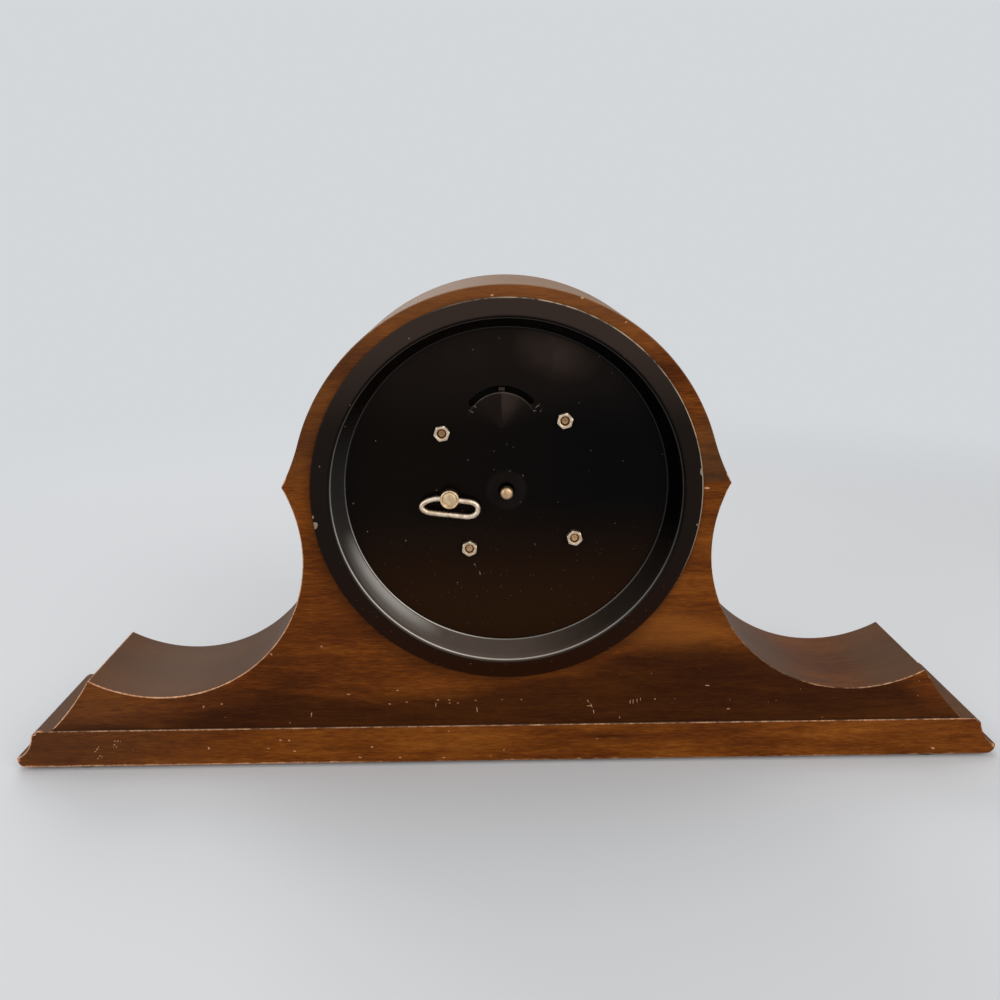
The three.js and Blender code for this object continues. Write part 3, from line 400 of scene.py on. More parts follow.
def enamel():
    p = Paint("enamel", {"IOR": 1.5, "Specular IOR Level": 0.04})
    out = p.radius()
    normal = p.normal()
    cloud = p.noise(28)
    worn = p.noise(120, 3, 0.65)
    fine = p.noise(1500, 2)
    disc = p.step(out, 0.0600, 0.0585)
    level = p.math("SUBTRACT", p.z, DIAL * MM)
    # Painted shade: the base darker towards the right
    p.colour = p.mix(p.step(p.x, -0.04, 0.03), (0.0012, 0.0010, 0.0010, 1), (0.0036, 0.0021, 0.0014, 1))
    # A painted sheen high on the disc and over its upper right
    painted_sheen = p.times(p.step(level, 0.018, 0.054), p.spread(cloud, 0.2, 0.9), 0.45)
    painted_sheen = p.most(painted_sheen, p.times(p.spot(-18, DIAL + 51, 27, 16, 18, 1), p.spread(worn, 0.35, 1.25)))
    p.lay((0.031, 0.020, 0.0155, 1), painted_sheen, disc)
    # A painted brown reflection on the lower half of the disc
    p.lay((0.019, 0.0066, 0.0016, 1), p.step(level, 0, -0.052), disc)

    # Painted sheen on the pressed fan under the slot, most on its right, a painted highlight along its edge
    # by the slot, a painted sheen on the boss round the stem, and the brim running from a painted brown
    # reflection low to a painted grey sheen high
    reach = p.radius(*BALANCE)
    sweep = p.turn(*BALANCE)
    fan = p.times(p.band(sweep, 0.3, 1.1, 2.0, 2.8), p.step(reach, 0.0138, 0.0130))
    lit = p.times(p.band(sweep, 1.52, 1.6, 1.65, 2.45), p.step(reach, 0.001, 0.009))
    # A painted sheen on the pressed fan, most on its right
    p.lay((0.045, 0.030, 0.0235, 1), fan, p.spread(lit, 0.14, 0.8), p.spread(worn, 0.4, 1.2))
    # A painted highlight along the fan's edge by the slot
    p.lay(srgb(104, 94, 86), fan, p.step(reach, 0.0128, 0.0130), p.spread(worn, 0.1, 0.7))
    # A painted sheen on the boss round the stem
    p.lay((0.012, 0.0090, 0.0075, 1), p.band(out, 0.0028, 0.0034, 0.0064, 0.0084), p.spread(worn, 0, 0.75))
    # The brim, from a painted brown reflection low to a painted grey sheen high
    brim = p.ramp(p.add(p.times(level, 7.1), 0.5), [
        (0.02, (0.0170, 0.0042, 0.0006, 1)),
        (0.35, (0.0095, 0.0056, 0.0042, 1)),
        (0.68, (0.0105, 0.0070, 0.0052, 1)),
        (0.88, (0.0340, 0.0225, 0.0175, 1)),
    ])
    p.lay(brim, p.step(out, 0.0640, 0.0650))

    # Dust and a painted sheen on the wall that looks up, a painted highlight low on the left from behind,
    # and painted highlight lines on lip and foot
    wall = p.band(out, 0.0594, 0.0600, 0.0640, 0.0648)
    dust_and_sheen_patches = p.times(p.step(normal[2], 0.05, 0.9), wall, p.spread(cloud, 0.21, 0.36))
    dust_and_sheen_patches = p.times(dust_and_sheen_patches, p.spread(p.step(normal[0], 0.65, 0), 0.3, 1))
    p.lay(srgb(150, 128, 112), dust_and_sheen_patches)
    # A painted highlight on the wall low on the left
    facing = p.add(p.times(normal[2], 0.64), p.times(normal[0], -0.77))
    wall_highlight = p.times(p.step(facing, 0.84, 0.97), p.spread(p.step(out, 0.0624, 0.0605), 0.12, 0.75))
    wall_highlight = p.add(wall_highlight, p.times(p.step(facing, 0.2, 0.8), 0.04))
    p.lay(srgb(200, 195, 188), wall_highlight, wall)
    # Painted highlight lines on the lip and foot, strongest low on the left
    turn = p.turn()
    lower = p.step(p.math("COSINE", p.add(turn, radians(70))), -1.0, 1.0)
    bright = p.step(p.math("COSINE", p.add(turn, radians(46))), 0.7, 1.0)
    lower = p.add(p.times(lower, lower, lower, p.spread(bright, 0.6, 1)), 0.06)
    lip = p.band(out, 0.06335, 0.0635, 0.06365, 0.06385)
    foot = p.times(p.band(out, 0.0595, 0.05965, 0.05985, 0.0600), p.spread(bright, 0.5, 1))
    p.lay(srgb(214, 206, 196), p.most(lip, foot), lower, p.spread(worn, 0.6, 1.1))

    # Scuffs, dust specks, a pale line round the upper right of the rim, and the rim's chips
    scuffs = p.times(p.spots(SCUFFS, DIAL, 0.9), p.step(fine, 0.38, 0.62))
    p.lay(srgb(150, 138, 128), scuffs, 0.65)
    dust = p.most(
        p.times(p.specks(420, 0.12, 0.88), p.spread(p.step(p.x, 0, 0.05), 0.25, 1)),
        p.times(p.specks(800, 0.12, 0.82), p.step(level, 0.01, -0.04), 0.5))
    p.lay(srgb(160, 140, 118), dust, 0.6)
    upper = p.step(p.add(level, p.times(p.x, -1.2)), 0.025, 0.09)
    rim = p.times(p.step(out, 0.07015, 0.0705), p.step(worn, 0.3, 0.55), upper)
    p.lay(srgb(206, 186, 158), rim, 0.75)
    chips = p.step(p.shaken(p.spots(CHIPS, DIAL, 0.6), fine, 0.8), 0.4, 0.6)
    p.lay(srgb(150, 132, 116), chips, 0.8)

    hairline = p.noise(240, 4, 0.7)
    rough = p.add(0.2, p.times(hairline, 0.1), p.times(p.most(scuffs, dust, chips, rim, dust_and_sheen_patches), 0.3))
    return p.finish(rough, p.noise(650, 2, 0.5), 0.00006, 0.15)


def plated(name, bright, dull, shade_depth=20):
    """Nickel plate over brass, mottled, with bright rubbed edges, and painted shade deeper in than its
    shade depth.
    """
    p = Paint(name, {"Metallic": 1})
    cloud = p.noise(420)
    fine = p.noise(2600, 2)
    dents = p.noise(900, 2, 0.5)
    p.colour = p.mix(p.step(p.add(p.times(cloud, 0.6), p.times(dents, 0.4)), 0.38, 0.62), bright, dull)
    p.lay((0.24, 0.16, 0.09, 1), p.step(fine, 0.56, 0.72), 0.5)
    p.lay((0.93, 0.85, 0.74, 1), p.attribute("wear"))
    # Painted shade: darker deeper in than the shade depth
    p.lay((0.05, 0.032, 0.018, 1), p.step(p.y, (BACK - shade_depth) * MM, (BACK - shade_depth - 1.2) * MM), 0.9)
    rough = p.add(0.28, p.times(cloud, 0.16), p.times(fine, 0.1))
    return p.finish(rough, p.add(dents, p.times(fine, 0.3)), 0.0001, 0.4)


def turned_metal(name, bright, dull, rough):
    """Metal with fine turning lines and a little tarnish."""
    p = Paint(name, {"Metallic": 1})
    cloud = p.noise(160, 4)
    lines = p.noise((900, 4200, 900), 2, 0.5)
    p.colour = p.mix(p.step(cloud, 0.35, 0.72), bright, dull)
    return p.finish(p.add(rough, p.times(cloud, 0.12), p.times(lines, 0.08)), lines, 0.00002, 0.25)


def paper():
    p = Paint("paper", {"IOR": 1.45, "Specular IOR Level": 0.3})
    fibre = p.noise(1300)
    p.colour = p.mix(p.step(p.noise(38, 4), 0.35, 0.7), srgb(242, 232, 206), srgb(232, 217, 184))
    p.lay(srgb(206, 184, 142), p.step(p.radius(), 0.040, 0.060), 0.5)
    p.lay(srgb(150, 118, 76), p.specks(300, 0.06, 0.85), 0.5)
    return p.finish(p.add(0.55, p.times(fibre, 0.2)), fibre, 0.00004, 0.3)


def ink():
    p = Paint("ink", {"IOR": 1.45})
    fade = p.noise(700)
    p.colour = p.mix(p.step(fade, 0.4, 0.75), srgb(24, 20, 18), srgb(52, 44, 38))
    return p.finish(p.add(0.45, p.times(fade, 0.2)))


def felt():
    p = Paint("felt", {"Roughness": 1, "Sheen Weight": 0.4, "Specular IOR Level": 0.1})
    fuzz = p.noise(2200, 4, 0.75)
    p.colour = p.mix(p.noise(200), srgb(38, 52, 36), srgb(60, 74, 50))
    p.lay(srgb(92, 102, 80), p.step(fuzz, 0.5, 0.8), 0.5)
    return p.finish(None, fuzz, 0.0003, 0.8)


def blackened(name, dark, light):
    """Dark matt finish behind the cover: black oxide on the regulator lever, and a near black on the back
    plate that is painted shade.
    """
    p = Paint(name, {"Specular IOR Level": 0.05})
    cloud = p.noise(500)
    p.colour = p.mix(cloud, dark, light)
    return p.finish(p.add(0.5, p.times(cloud, 0.2)))


def glass():
    p = Paint("glass", {"IOR": 1.46, "Transmission Weight": 1, "Alpha": 0.16})
    smear = p.noise((30, 60, 30))
    p.colour = p.mix(smear, (0.99, 0.99, 0.985, 1), (0.96, 0.965, 0.955, 1))
    return p.finish(p.times(p.step(smear, 0.45, 0.8), 0.05))


PAINT = {
    "walnut": walnut(),
    "enamel": enamel(),
    "nickel": plated("nickel", (0.82, 0.69, 0.54, 1), (0.55, 0.41, 0.29, 1)),
    "nut": plated("nut", (0.70, 0.54, 0.39, 1), (0.50, 0.36, 0.25, 1)),
    "hub": plated("hub", (0.80, 0.60, 0.39, 1), (0.54, 0.37, 0.20, 1), 5.1),
    "stem": plated("stem", (0.64, 0.43, 0.26, 1), (0.44, 0.27, 0.14, 1), 6.2),
    "steel": turned_metal("steel", (0.50, 0.50, 0.51, 1), (0.30, 0.29, 0.28, 1), 0.28),
    "blued": turned_metal("blued", (0.020, 0.026, 0.055, 1), (0.035, 0.030, 0.045, 1), 0.22),
    "brass": turned_metal("brass", (0.60, 0.42, 0.16, 1), (0.50, 0.34, 0.13, 1), 0.30),
    "aged": turned_metal("aged", (0.48, 0.31, 0.16, 1), (0.28, 0.17, 0.08, 1), 0.42),
    "gilt": turned_metal("gilt", (0.80, 0.58, 0.25, 1), (0.58, 0.38, 0.14, 1), 0.18),
    "paper": paper(),
    "felt": felt(),
    "glass": glass(),
}
DARK = {
    "regulator_lever": blackened("blackened", srgb(44, 34, 30), srgb(60, 48, 43)),
    # The back plate near black as painted shade inside the case
    "back_plate": blackened("shadowed", srgb(8, 6, 5), srgb(14, 11, 9)),
}
PRINT = {"slot": "enamel", "paint": ink(), "body": "case"}


def placed(name, data):
    """A new object in the scene."""
    made = bpy.data.objects.new(name, data)
    bpy.context.scene.collection.objects.link(made)
    return made


def shaped(name, points, faces, wear=None, grain=None):
    """An object from points in millimetres and faces, with its surface attributes."""
    mesh = bpy.data.meshes.new(name)
    mesh.from_pydata([[c * MM for c in point] for point in points], [], faces)
    if wear:
        mesh.attributes.new("wear", "FLOAT", "POINT").data.foreach_set("value", wear)
    if grain:
        along = mesh.attributes.new("grain", "FLOAT_VECTOR", "POINT")
        along.data.foreach_set("vector", [c * MM for point in grain for c in point])
    return placed(name, mesh)


def carve(piece, *tools):
    """Cuts the tools out of a piece and takes them away."""
    for tool in tools:
        cut = piece.modifiers.new("cut", "BOOLEAN")
        cut.operation = "DIFFERENCE"
        cut.solver = "EXACT"
        cut.object = tool
    bpy.context.view_layer.update()
    graph = bpy.context.evaluated_depsgraph_get()
    whole = piece.data
    carved = bpy.data.meshes.new_from_object(piece.evaluated_get(graph))
    piece.modifiers.clear()
    piece.data = carved
    bpy.data.meshes.remove(whole)
    for tool in tools:
        bpy.data.objects.remove(tool)
    return piece


def dress(piece, *nodes, slot=None, paint=None, body=None, crease=32):
    """Smooths and paints a piece, and puts it on its body in place of the nodes it stands for."""
    shell = bmesh.new()
    shell.from_mesh(piece.data)
    bmesh.ops.remove_doubles(shell, verts=shell.verts, dist=WELD)
    bmesh.ops.recalc_face_normals(shell, faces=shell.faces)
    shell.to_mesh(piece.data)
    shell.free()
    piece.data.shade_smooth()
    piece.data.set_sharp_from_angle(angle=radians(crease))
    slot = slot or SLOT_OF[nodes[0]]
    piece.data.materials.clear()
    piece.data.materials.append(paint or PAINT[slot])
    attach(piece, body or BODY_OF[nodes[0]])
    if nodes:
        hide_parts(*nodes)
    return piece


# Plane geometry on (x, z) pairs
def bearing(a, b):
    return atan2(b[1] - a[1], b[0] - a[0])


def polar(r, angle, centre=(0, 0)):
    return (centre[0] + r * cos(angle), centre[1] + r * sin(angle))


def beside(place, heading, along, aside):
    """The point so far along a heading from a place and so far to its left."""
    return polar(aside, heading + pi / 2, polar(along, heading, place))


def arc(centre, r, start, end, steps):
    return [polar(r, start + (end - start) * i / steps, centre) for i in range(steps + 1)]


def circle(centre, r, sides, start=0):
    return arc(centre, r, start, start + tau, sides)[:-1]


def meet(a, ra, b, rb):
    """The point at two distances from a and b, on the left of the way from a to b."""
    d = dist(a, b)
    along = (ra * ra - rb * rb + d * d) / (2 * d)
    return beside(a, bearing(a, b), along, sqrt(ra * ra - along * along))


def blend(weights, places):
    return tuple(sum(w * p[axis] for w, p in zip(weights, places)) for axis in (0, 1))


def bend(a, control, b, steps):
    """Points on a quadratic curve, both ends included."""
    shares = [i / steps for i in range(steps + 1)]
    return [blend(((1 - t) ** 2, 2 * t * (1 - t), t * t), (a, control, b)) for t in shares]


def toward(a, b, length):
    share = length / dist(a, b)
    return (a[0] + (b[0] - a[0]) * share, a[1] + (b[1] - a[1]) * share)


def blunted(first, second, reach):
    """Two runs of points that share a corner, joined by a small curve instead."""
    corner = first[-1]
    start = [p for p in first if dist(p, corner) > reach]
    end = [p for p in second if dist(p, corner) > reach]
    a = toward(corner, start[-1], reach)
    b = toward(corner, end[0], reach)
    return start + bend(a, corner, b, 8) + end


def rounded(corners, steps=5, closed=True):
    """A run of (r, b, setback) corners with each corner curved over its setback."""
    made = []
    last = len(corners) - 1
    for i, (r, b, setback) in enumerate(corners):
        if not setback or (not closed and i in (0, last)):
            made.append((r, b))
            continue
        before = corners[i - 1][:2]
        after = corners[(i + 1) % len(corners)][:2]
        reach = min(setback, 0.48 * dist(before, (r, b)), 0.48 * dist(after, (r, b)))
        made += bend(toward((r, b), before, reach), (r, b), toward((r, b), after, reach), steps)
    return made


def mirrored(points):
    return [(-x, z) for x, z in reversed(points)]


def inset(loop, depth, corners, taper):
    """A closed loop, anticlockwise, moved inwards by a depth that tapers off towards sharp corners."""
    made = []
    count = len(loop)
    for i, (x, z) in enumerate(loop):
        (ax, az), (cx, cz) = loop[i - 1], loop[(i + 1) % count]
        before = Vector((z - az, ax - x)).normalized()
        after = Vector((cz - z, x - cx)).normalized()
        out = (before + after).normalized()
        near = min(dist((x, z), corner) for corner in corners)
        reach = min(depth, taper * near) / max(out.dot(after), 0.3)
        made.append((x - out.x * reach, z - out.y * reach))
    return made


# Rings of points and the faces between them
def upcoming(points, count):
    """Where the next points of a list will stand."""
    return list(range(len(points), len(points) + count))


def bridged(rings, closed=True):
    """Faces between neighbouring rings, and from the last to the first if closed; none between poles."""
    faces = []
    sides = len(rings[0])
    for a, b in zip(rings, rings[1:] + rings[:1] if closed else rings[1:]):
        for i in range(sides):
            j = (i + 1) % sides
            corners = list(dict.fromkeys([a[i], a[j], b[j], b[i]]))
            if len(corners) > 2:
                faces.append(corners)
    return faces


def lathed(profile, sides, put):
    """Points and faces from a closed run of (r, along), where put gives the point at (r, angle, along)."""
    points, rings = [], []
    for r, along in profile:
        if r < POLE:
            rings.append([len(points)] * sides)
            points.append(put(0, 0, along))
            continue
        rings.append(upcoming(points, sides))
        points += [put(r, tau * i / sides, along) for i in range(sides)]
    return points, bridged(rings)


def turned(profile, sides, place=(0, 0)):
    """Points and faces of a piece turned about an axis along y, from a closed run of (r, b)."""
    def put(r, angle, b):
        x, z = polar(r, angle, place)
        return (x, BACK - b, DIAL + z)
    return lathed(profile, sides, put)


def turned_up(profile, sides, x, b, jitter=0):
    """Points and faces of a piece turned about a vertical axis, from a closed run of (r, height)."""
    def put(r, angle, height):
        rough = 1 + jitter * (sin(7 * angle + x) + sin(17 * angle + b) + sin(29 * angle))
        return (*polar(r * rough, angle, (x, BACK - b)), height)
    return lathed(profile, sides, put)


def threaded(start, end, pitch, rise, side, middle):
    """Ridges or grooves along a shank, one to a pitch, as a run of (r, along)."""
    made = []
    while start < end:
        made += [(side, start), (middle, start + rise), (side, start + 2 * rise)]
        start += pitch
    return made


def capped(points, outer, inner, radius):
    """Triangles that fill the plane between an outer ring and a round hole about the dial centre."""
    order = outer + inner
    plane = [Vector((points[i][0], points[i][2] - DIAL)) for i in order]
    edges = []
    for start, count in ((0, len(outer)), (len(outer), len(inner))):
        edges += [(start + i, start + (i + 1) % count) for i in range(count)]
    places, _, triangles, sources, _, _ = delaunay_2d_cdt(plane, edges, [], 1, 1e-6)
    made = []
    for triangle in triangles:
        middle = sum((places[i] for i in triangle), Vector((0, 0))) / 3
        if middle.length > radius:
            made.append([order[sources[i][0]] for i in triangle])
    return made


def bored(points, rings, bores, radius):
    """Faces of a flat piece with a round hole, from the rings of its outline and of its bore."""
    faces = bridged(rings, False) + bridged(bores, False)
    faces += capped(points, rings[0], bores[0], radius)
    return faces + capped(points, rings[-1], bores[-1], radius)


def prism_faces(count):
    """Faces of a prism whose points are one loop and then the other."""
    faces = [list(range(count)), list(range(count, 2 * count))]
    return faces + [[i, (i + 1) % count, count + (i + 1) % count, count + i] for i in range(count)]


def prism_points(loop, b0, b1):
    return [(x, BACK - b, DIAL + z) for b in (b0, b1) for x, z in loop]


def slab(loop, b0, b1):
    """A plain flat tool between two depths, from a loop about the dial centre."""
    return shaped("tool", prism_points(loop, b0, b1), prism_faces(len(loop)))


def spun(name, profile, sides, *nodes, place=(0, 0), **dressing):
    return dress(shaped(name, *turned(profile, sides, place)), *nodes, **dressing)


# Round of an edge as (cut into the face, fall down the side, rub), from the face to the side
EDGE_TURNS = [radians(22.5 * i) for i in range(5)]
EDGE_RUBS = (0.45, 0.9, 1, 0.9, 0.45)
EDGE = [
    (ARRIS * (1 - sin(turn)), ARRIS * (1 - cos(turn)), rub)
    for turn, rub in zip(EDGE_TURNS, EDGE_RUBS)
]


# Case body
def case_loop():
    """The whole outline, anticlockwise from the middle of the base."""
    hollow = ((FOOT[0] + SHOULDER[0]) / 2 - END_HOLLOW, (FOOT[1] + SHOULDER[1]) / 2 - END_HOLLOW)
    base = [(x, CASE_BASE) for x in (0, 40, 80, 120, 160)] + [FOOT]
    slope = bend(FOOT, hollow, SHOULDER, 24)
    centre = meet(EAR, SWEEP_RADIUS, SHOULDER, SWEEP_RADIUS)
    sweep = arc(centre, SWEEP_RADIUS, bearing(centre, SHOULDER) + tau, bearing(centre, EAR), 110)
    flare_centre = meet(CROWN, CROWN_RADIUS + FLARE_RADIUS, EAR, FLARE_RADIUS)
    joint = bearing(CROWN, flare_centre)
    flare = arc(flare_centre, FLARE_RADIUS, bearing(flare_centre, EAR) + tau, joint + pi, 36)
    crown = arc(CROWN, CROWN_RADIUS, joint, pi / 2, 90)
    half = blunted(base, slope, 0.3)
    half = blunted(half, sweep, 0.6)
    half = blunted(half, flare + crown[1:], 0.7)
    return half + mirrored(half[1:-1])


def raised(z, b):
    """The height of an outline point once the crown's rise towards the front is added."""
    up = max(0, (z - EAR[1]) / (CROWN[1] + CROWN_RADIUS - EAR[1]))
    return z + CROWN_RISE * up * up * b / BODY_DEPTH


def case_wear(x, z):
    """How worn the back and front edges are at a place on the outline."""
    if z < CASE_BASE + 0.4:
        return 0
    if dist((abs(x), z), EAR) < 4:
        return 0.9
    if z < SHOULDER[1] and abs(x) > SHOULDER[0] - 0.5:
        return 1 if x > 0 else 0.4
    if z < EAR[1]:
        near = min(1, max(0, (abs(x) - 95) / 60))
        return 0.78 + 0.2 * near if x > 0 else 0.44 + 0.22 * near
    return 0.36


def ridge_wear(x, corner):
    """How worn the ridge across the top of each end is."""
    if dist((abs(corner[0]), corner[1]), SHOULDER) > 0.35:
        return 0
    return 0.7 if x > 0 else 0.4


def case_body():
    loop = case_loop()
    lengths = [0]
    for a, b in zip(loop, loop[1:]):
        lengths.append(lengths[-1] + dist(a, b))
    levels = [(ARRIS_HOLD, 0, 0), (ARRIS + 0.2, 0, 0)] + EDGE + [(0, ARRIS + 0.2, 0), (0, ARRIS_HOLD, 0)]
    depths = levels + [(0, BODY_DEPTH / 2, 0)] + [(d, BODY_DEPTH - b, w) for d, b, w in reversed(levels)]
    sharp = [(side * x, z) for x, z in (FOOT, SHOULDER, EAR) for side in (-1, 1)]
    points, wear, grain, rings = [], [], [], []
    for depth, b, rub in depths:
        rings.append(upcoming(points, len(loop)))
        on_face = depth > 0.5 * ARRIS
        for (x, z), along, corner in zip(inset(loop, depth, sharp, 0.3), lengths, loop):
            points.append((x, BACK - b, BASE + raised(z, b)))
            wear.append(max(rub * case_wear(*corner), ridge_wear(x, corner)))
            grain.append((x, z, 0) if on_face else (along, 400 + b, 0))
    bores = []
    for b in (0, BODY_DEPTH):
        bores.append(upcoming(points, BORE_SIDES))
        for x, z in circle((0, DIAL - BASE), BORE_RADIUS, BORE_SIDES, -pi / 2):
            points.append((x, BACK - b, BASE + z))
            wear.append(0)
            grain.append((x, z, 0))
    faces = bored(points, rings, bores, BORE_RADIUS)
    dress(shaped("case_wood", points, faces, wear, grain), "case_body")


# Plinth with a moulding on its ends and front and a flat back
MOULDING = bend((0, PLINTH_HEIGHT), (1.7, PLINTH_HEIGHT), (1.7, 13.9), 10)
MOULDING += [(1.78, 13.84), (2.8, 13.74), (2.94, 13.64), (3.28, 12.66)]
MOULDING += bend((3.3, 12.5), (4.65, 6.8), (8.5, 4.63), 16)
MOULDING += bend((8.65, 4.6), (9.9, 4.6), (9.9, 3.4), 8) + bend((9.9, 3.4), (9.9, 0), (5.7, 0), 12)[1:]


def plinth_out(z):
    """How far the moulding stands out from the top edge at a height."""
    for (out_a, a), (out_b, b) in zip(MOULDING, MOULDING[1:]):
        if a >= z >= b and a > b:
            return out_a + (out_b - out_a) * (a - z) / (a - b)
    return MOULDING[-1][0]


def plinth_ring(out, back_in):
    """One level of the plinth: (x, b, part) from the middle of the back round the right end."""
    side, front, rear = PLINTH_HALF + out, PLINTH_FRONT + out, PLINTH_REAR + back_in
    ring = [(x, rear, "back") for x in (0, 45, SCREW_X, 140, side - 3, side - ARRIS - 0.15)]
    ring += [(side - cut, rear + fall, "corner") for cut, fall, _ in EDGE]
    ring += [(side, b, "end") for b in (rear + ARRIS + 0.15, rear + 3, 12, 30, front - 2, front - 0.35)]
    ring += [(x, front, "front") for x in (side - 0.35, side - 2, 140, SCREW_X, 45, 0)]
    return ring + [(-x, b, part) for x, b, part in ring[-2:0:-1]]


def plinth():
    top = PLINTH_HEIGHT
    middle = [(z, 0, 0) for _, z in MOULDING if 1.4 < z < top - ARRIS - 0.1]
    levels = [(top, ARRIS + 1, 0)] + [(top - fall, cut, rub) for cut, fall, rub in EDGE]
    levels += [(top - ARRIS - 0.08, 0, 0)] + middle + [(ARRIS_HOLD, 0, 0), (ARRIS + 0.1, 0, 0.7)]
    levels += EDGE + [(0, ARRIS + 1, 0)]
    ends = {0: -1, len(levels) - 1: UNDER_OUT}
    points, wear, grain, rings = [], [], [], []
    run, last = 0, (0, top)
    for i, (z, back_in, rub) in enumerate(levels):
        out = ends.get(i, plinth_out(z))
        run += dist(last, (out, z))
        last = (out, z)
        ring = plinth_ring(out, back_in)
        rings.append(upcoming(points, len(ring)))
        toe = 0.3 if 2.2 < z < 4.3 else 0
        for x, b, part in ring:
            points.append((x, BACK - b, BASE + z))
            corner = 0 if i in ends else (0.95 if x > 0 else 0.45)
            knob = 0.75 if 2.4 < z < 4.9 and abs(x) > PLINTH_HALF + out - 1 else 0
            back = max(rub * (1 if z <= 5 and x > 90 else 0.6), knob)
            wear.append({"back": back, "corner": corner}.get(part, toe))
            sides = {"end": (b, run, 500), "front": (x, run, 700)}
            grain.append(sides.get(part, (x, z - 60, 300)))
    faces = bridged(rings, False)
    faces.append(rings[0])

    # Counterbored holes for the two screws, in an underside split at the holes
    bottom = rings[-1]
    holes = {}
    for x in (SCREW_X, -SCREW_X):
        walls = []
        for r, z in ((5, 0), (5, 4.2), (2.5, 4.2), (2.5, 14.6)):
            walls.append(upcoming(points, SCREW_HOLE_SIDES))
            for px, pb in circle((x, SCREW_DEPTH), r, SCREW_HOLE_SIDES, -pi / 2):
                points.append((px, BACK - pb, BASE + z))
                wear.append(0)
                grain.append((px, pb, 900))
        faces += bridged(walls, False)
        faces.append(walls[-1])
        holes[x] = walls[0]
    under = plinth_ring(UNDER_OUT, ARRIS + 1)
    where = {(x, part): i for i, (x, _, part) in enumerate(under) if abs(x) == SCREW_X}

    def between(start, end):
        first, last = where[start], where[end]
        return bottom[first:last + 1] if first < last else bottom[first:] + bottom[:last + 1]

    half = SCREW_HOLE_SIDES // 2
    right, left = holes[SCREW_X], holes[-SCREW_X]
    faces.append(between((SCREW_X, "back"), (SCREW_X, "front")) + right[half::-1])
    faces.append(between((-SCREW_X, "front"), (-SCREW_X, "back")) + left[:1] + left[:half - 1:-1])
    faces.append(between((-SCREW_X, "back"), (SCREW_X, "back")) + right[:1] + right[:half - 1:-1]
                 + between((SCREW_X, "front"), (-SCREW_X, "front")) + left[half::-1])
    dress(shaped("plinth_wood", points, faces, wear, grain), "plinth")


def screws_and_pads():
    head = rounded([(0, 1, 0), (4.2, 1, 0.3), (4.6, 1.4, 0.2), (4.6, 4.1, 0), (2.1, 4.1, 0.3)], 3, False)
    shank = threaded(5, 29, 1.2, 0.5, 1.6, 2.1)
    profile = [(r, BASE + h) for r, h in head + shank + [(0, 33.8)]]
    slot = [(-0.5, -6), (0.5, -6), (0.5, 6), (-0.5, 6)]
    for i, x in enumerate((-SCREW_X, SCREW_X)):
        screw = shaped(f"slotted_screw_{i + 1}", *turned_up(profile, 40, x, SCREW_DEPTH))
        points = [(x + u, BACK - SCREW_DEPTH - v, BASE + z) for z in (0, 2.1) for u, v in slot]
        dress(carve(screw, shaped("tool", points, prism_faces(4))), f"plinth_screw_{i + 1}")
    pad = rounded([(0, 0, 0), (8.9, 0, 0.45), (8.9, 1.4, 0.3), (0, 1.4, 0)], 4, False)
    for i, (x, b) in enumerate(PADS):
        dress(shaped(f"pad_{i + 1}", *turned_up(pad, 72, x, b, 0.0016)), f"felt_pad_{i + 1}")


# Stamped cover
def emboss(x, z):
    """Height of the shallow cone under the slot and of the raised boss round the stem."""
    cone = CONE_RISE * max(0, 1 - dist((x, z), BALANCE) / CONE_RADIUS)
    t = min(1, max(0, (BOSS_RADIUS - hypot(x, z)) / BOSS_SLOPE))
    return cone + BOSS_RISE * t * t * (3 - 2 * t)


def back_cover():
    front = [(0.85 * i, DISC_DEPTH) for i in range(69)]
    wall = rounded([
        (58.6, DISC_DEPTH, 0), (60.0, DISC_DEPTH, 0.9), (62.75, 0.9, 1.6), (64.2, -1, 1.1),
        (70.35, -1, 0.35), (70.65, -0.75, 0.2), (70.65, -0.1, 0), (65.2, -0.1, 0.8), (63.8, 0.9, 0.8),
        (61.2, DISC_DEPTH, 0.9), (59.8, DISC_INSIDE, 0),
    ], 7, False)
    rear = [(4.2 * i, DISC_INSIDE) for i in range(14, -1, -1)]
    points, faces = turned(front + wall[1:] + rear, 180)
    lifted = [(x, y + emboss(x, z - DIAL), z) for x, y, z in points]
    cover = shaped("stamped_cover", lifted, faces)
    deep = (DISC_DEPTH - 3, 14)
    holes = [circle(place, STUD_HOLE, 32) for place in STUDS]
    holes += [circle(WINDING, KEY_HOLE, 48), circle((0, 0), STEM_HOLE, 48)]
    start, end = (radians(a) for a in SLOT_SPAN)
    slot = arc(BALANCE, SLOT_RADIUS + SLOT_HALF, start, end, 48)
    inner = arc(BALANCE, SLOT_RADIUS - SLOT_HALF, end, start, 48)
    bulge = 1.6 * SLOT_HALF / SLOT_RADIUS
    slot += bend(slot[-1], polar(SLOT_RADIUS, end + bulge, BALANCE), inner[0], 8)[1:]
    slot += inner[1:] + bend(inner[-1], polar(SLOT_RADIUS, start - bulge, BALANCE), slot[0], 8)[1:-1]
    dress(carve(cover, *[slab(hole, *deep) for hole in holes + [slot]]), "back_cover", crease=30)


# Nut surfaces from the bore under the seat round to the bore in the face: the radius or the cut from the
# hexagon, the depth, its fall towards the corners, and the wear
NUT_RINGS = [
    (1.65, 0, 9.7, 0, 0), (2.5, 0, 9.7, 0, 0), (9, 0.1, 9.7, 0, 0), (9, 0, 9.6, 0, 0),
    (9, 0, 7.46, 0.75, 0.2), (9, 0.03, 7.38, 0.75, 0.5), (9, 0.12, 7.3, 0.75, 0.3), (2.5, 0, 7.3, 0, 0),
    (2.05, 0, 7.3, 0, 0), (1.9, 0, 7.36, 0, 0.35), (1.65, 0, 7.7, 0, 0),
]


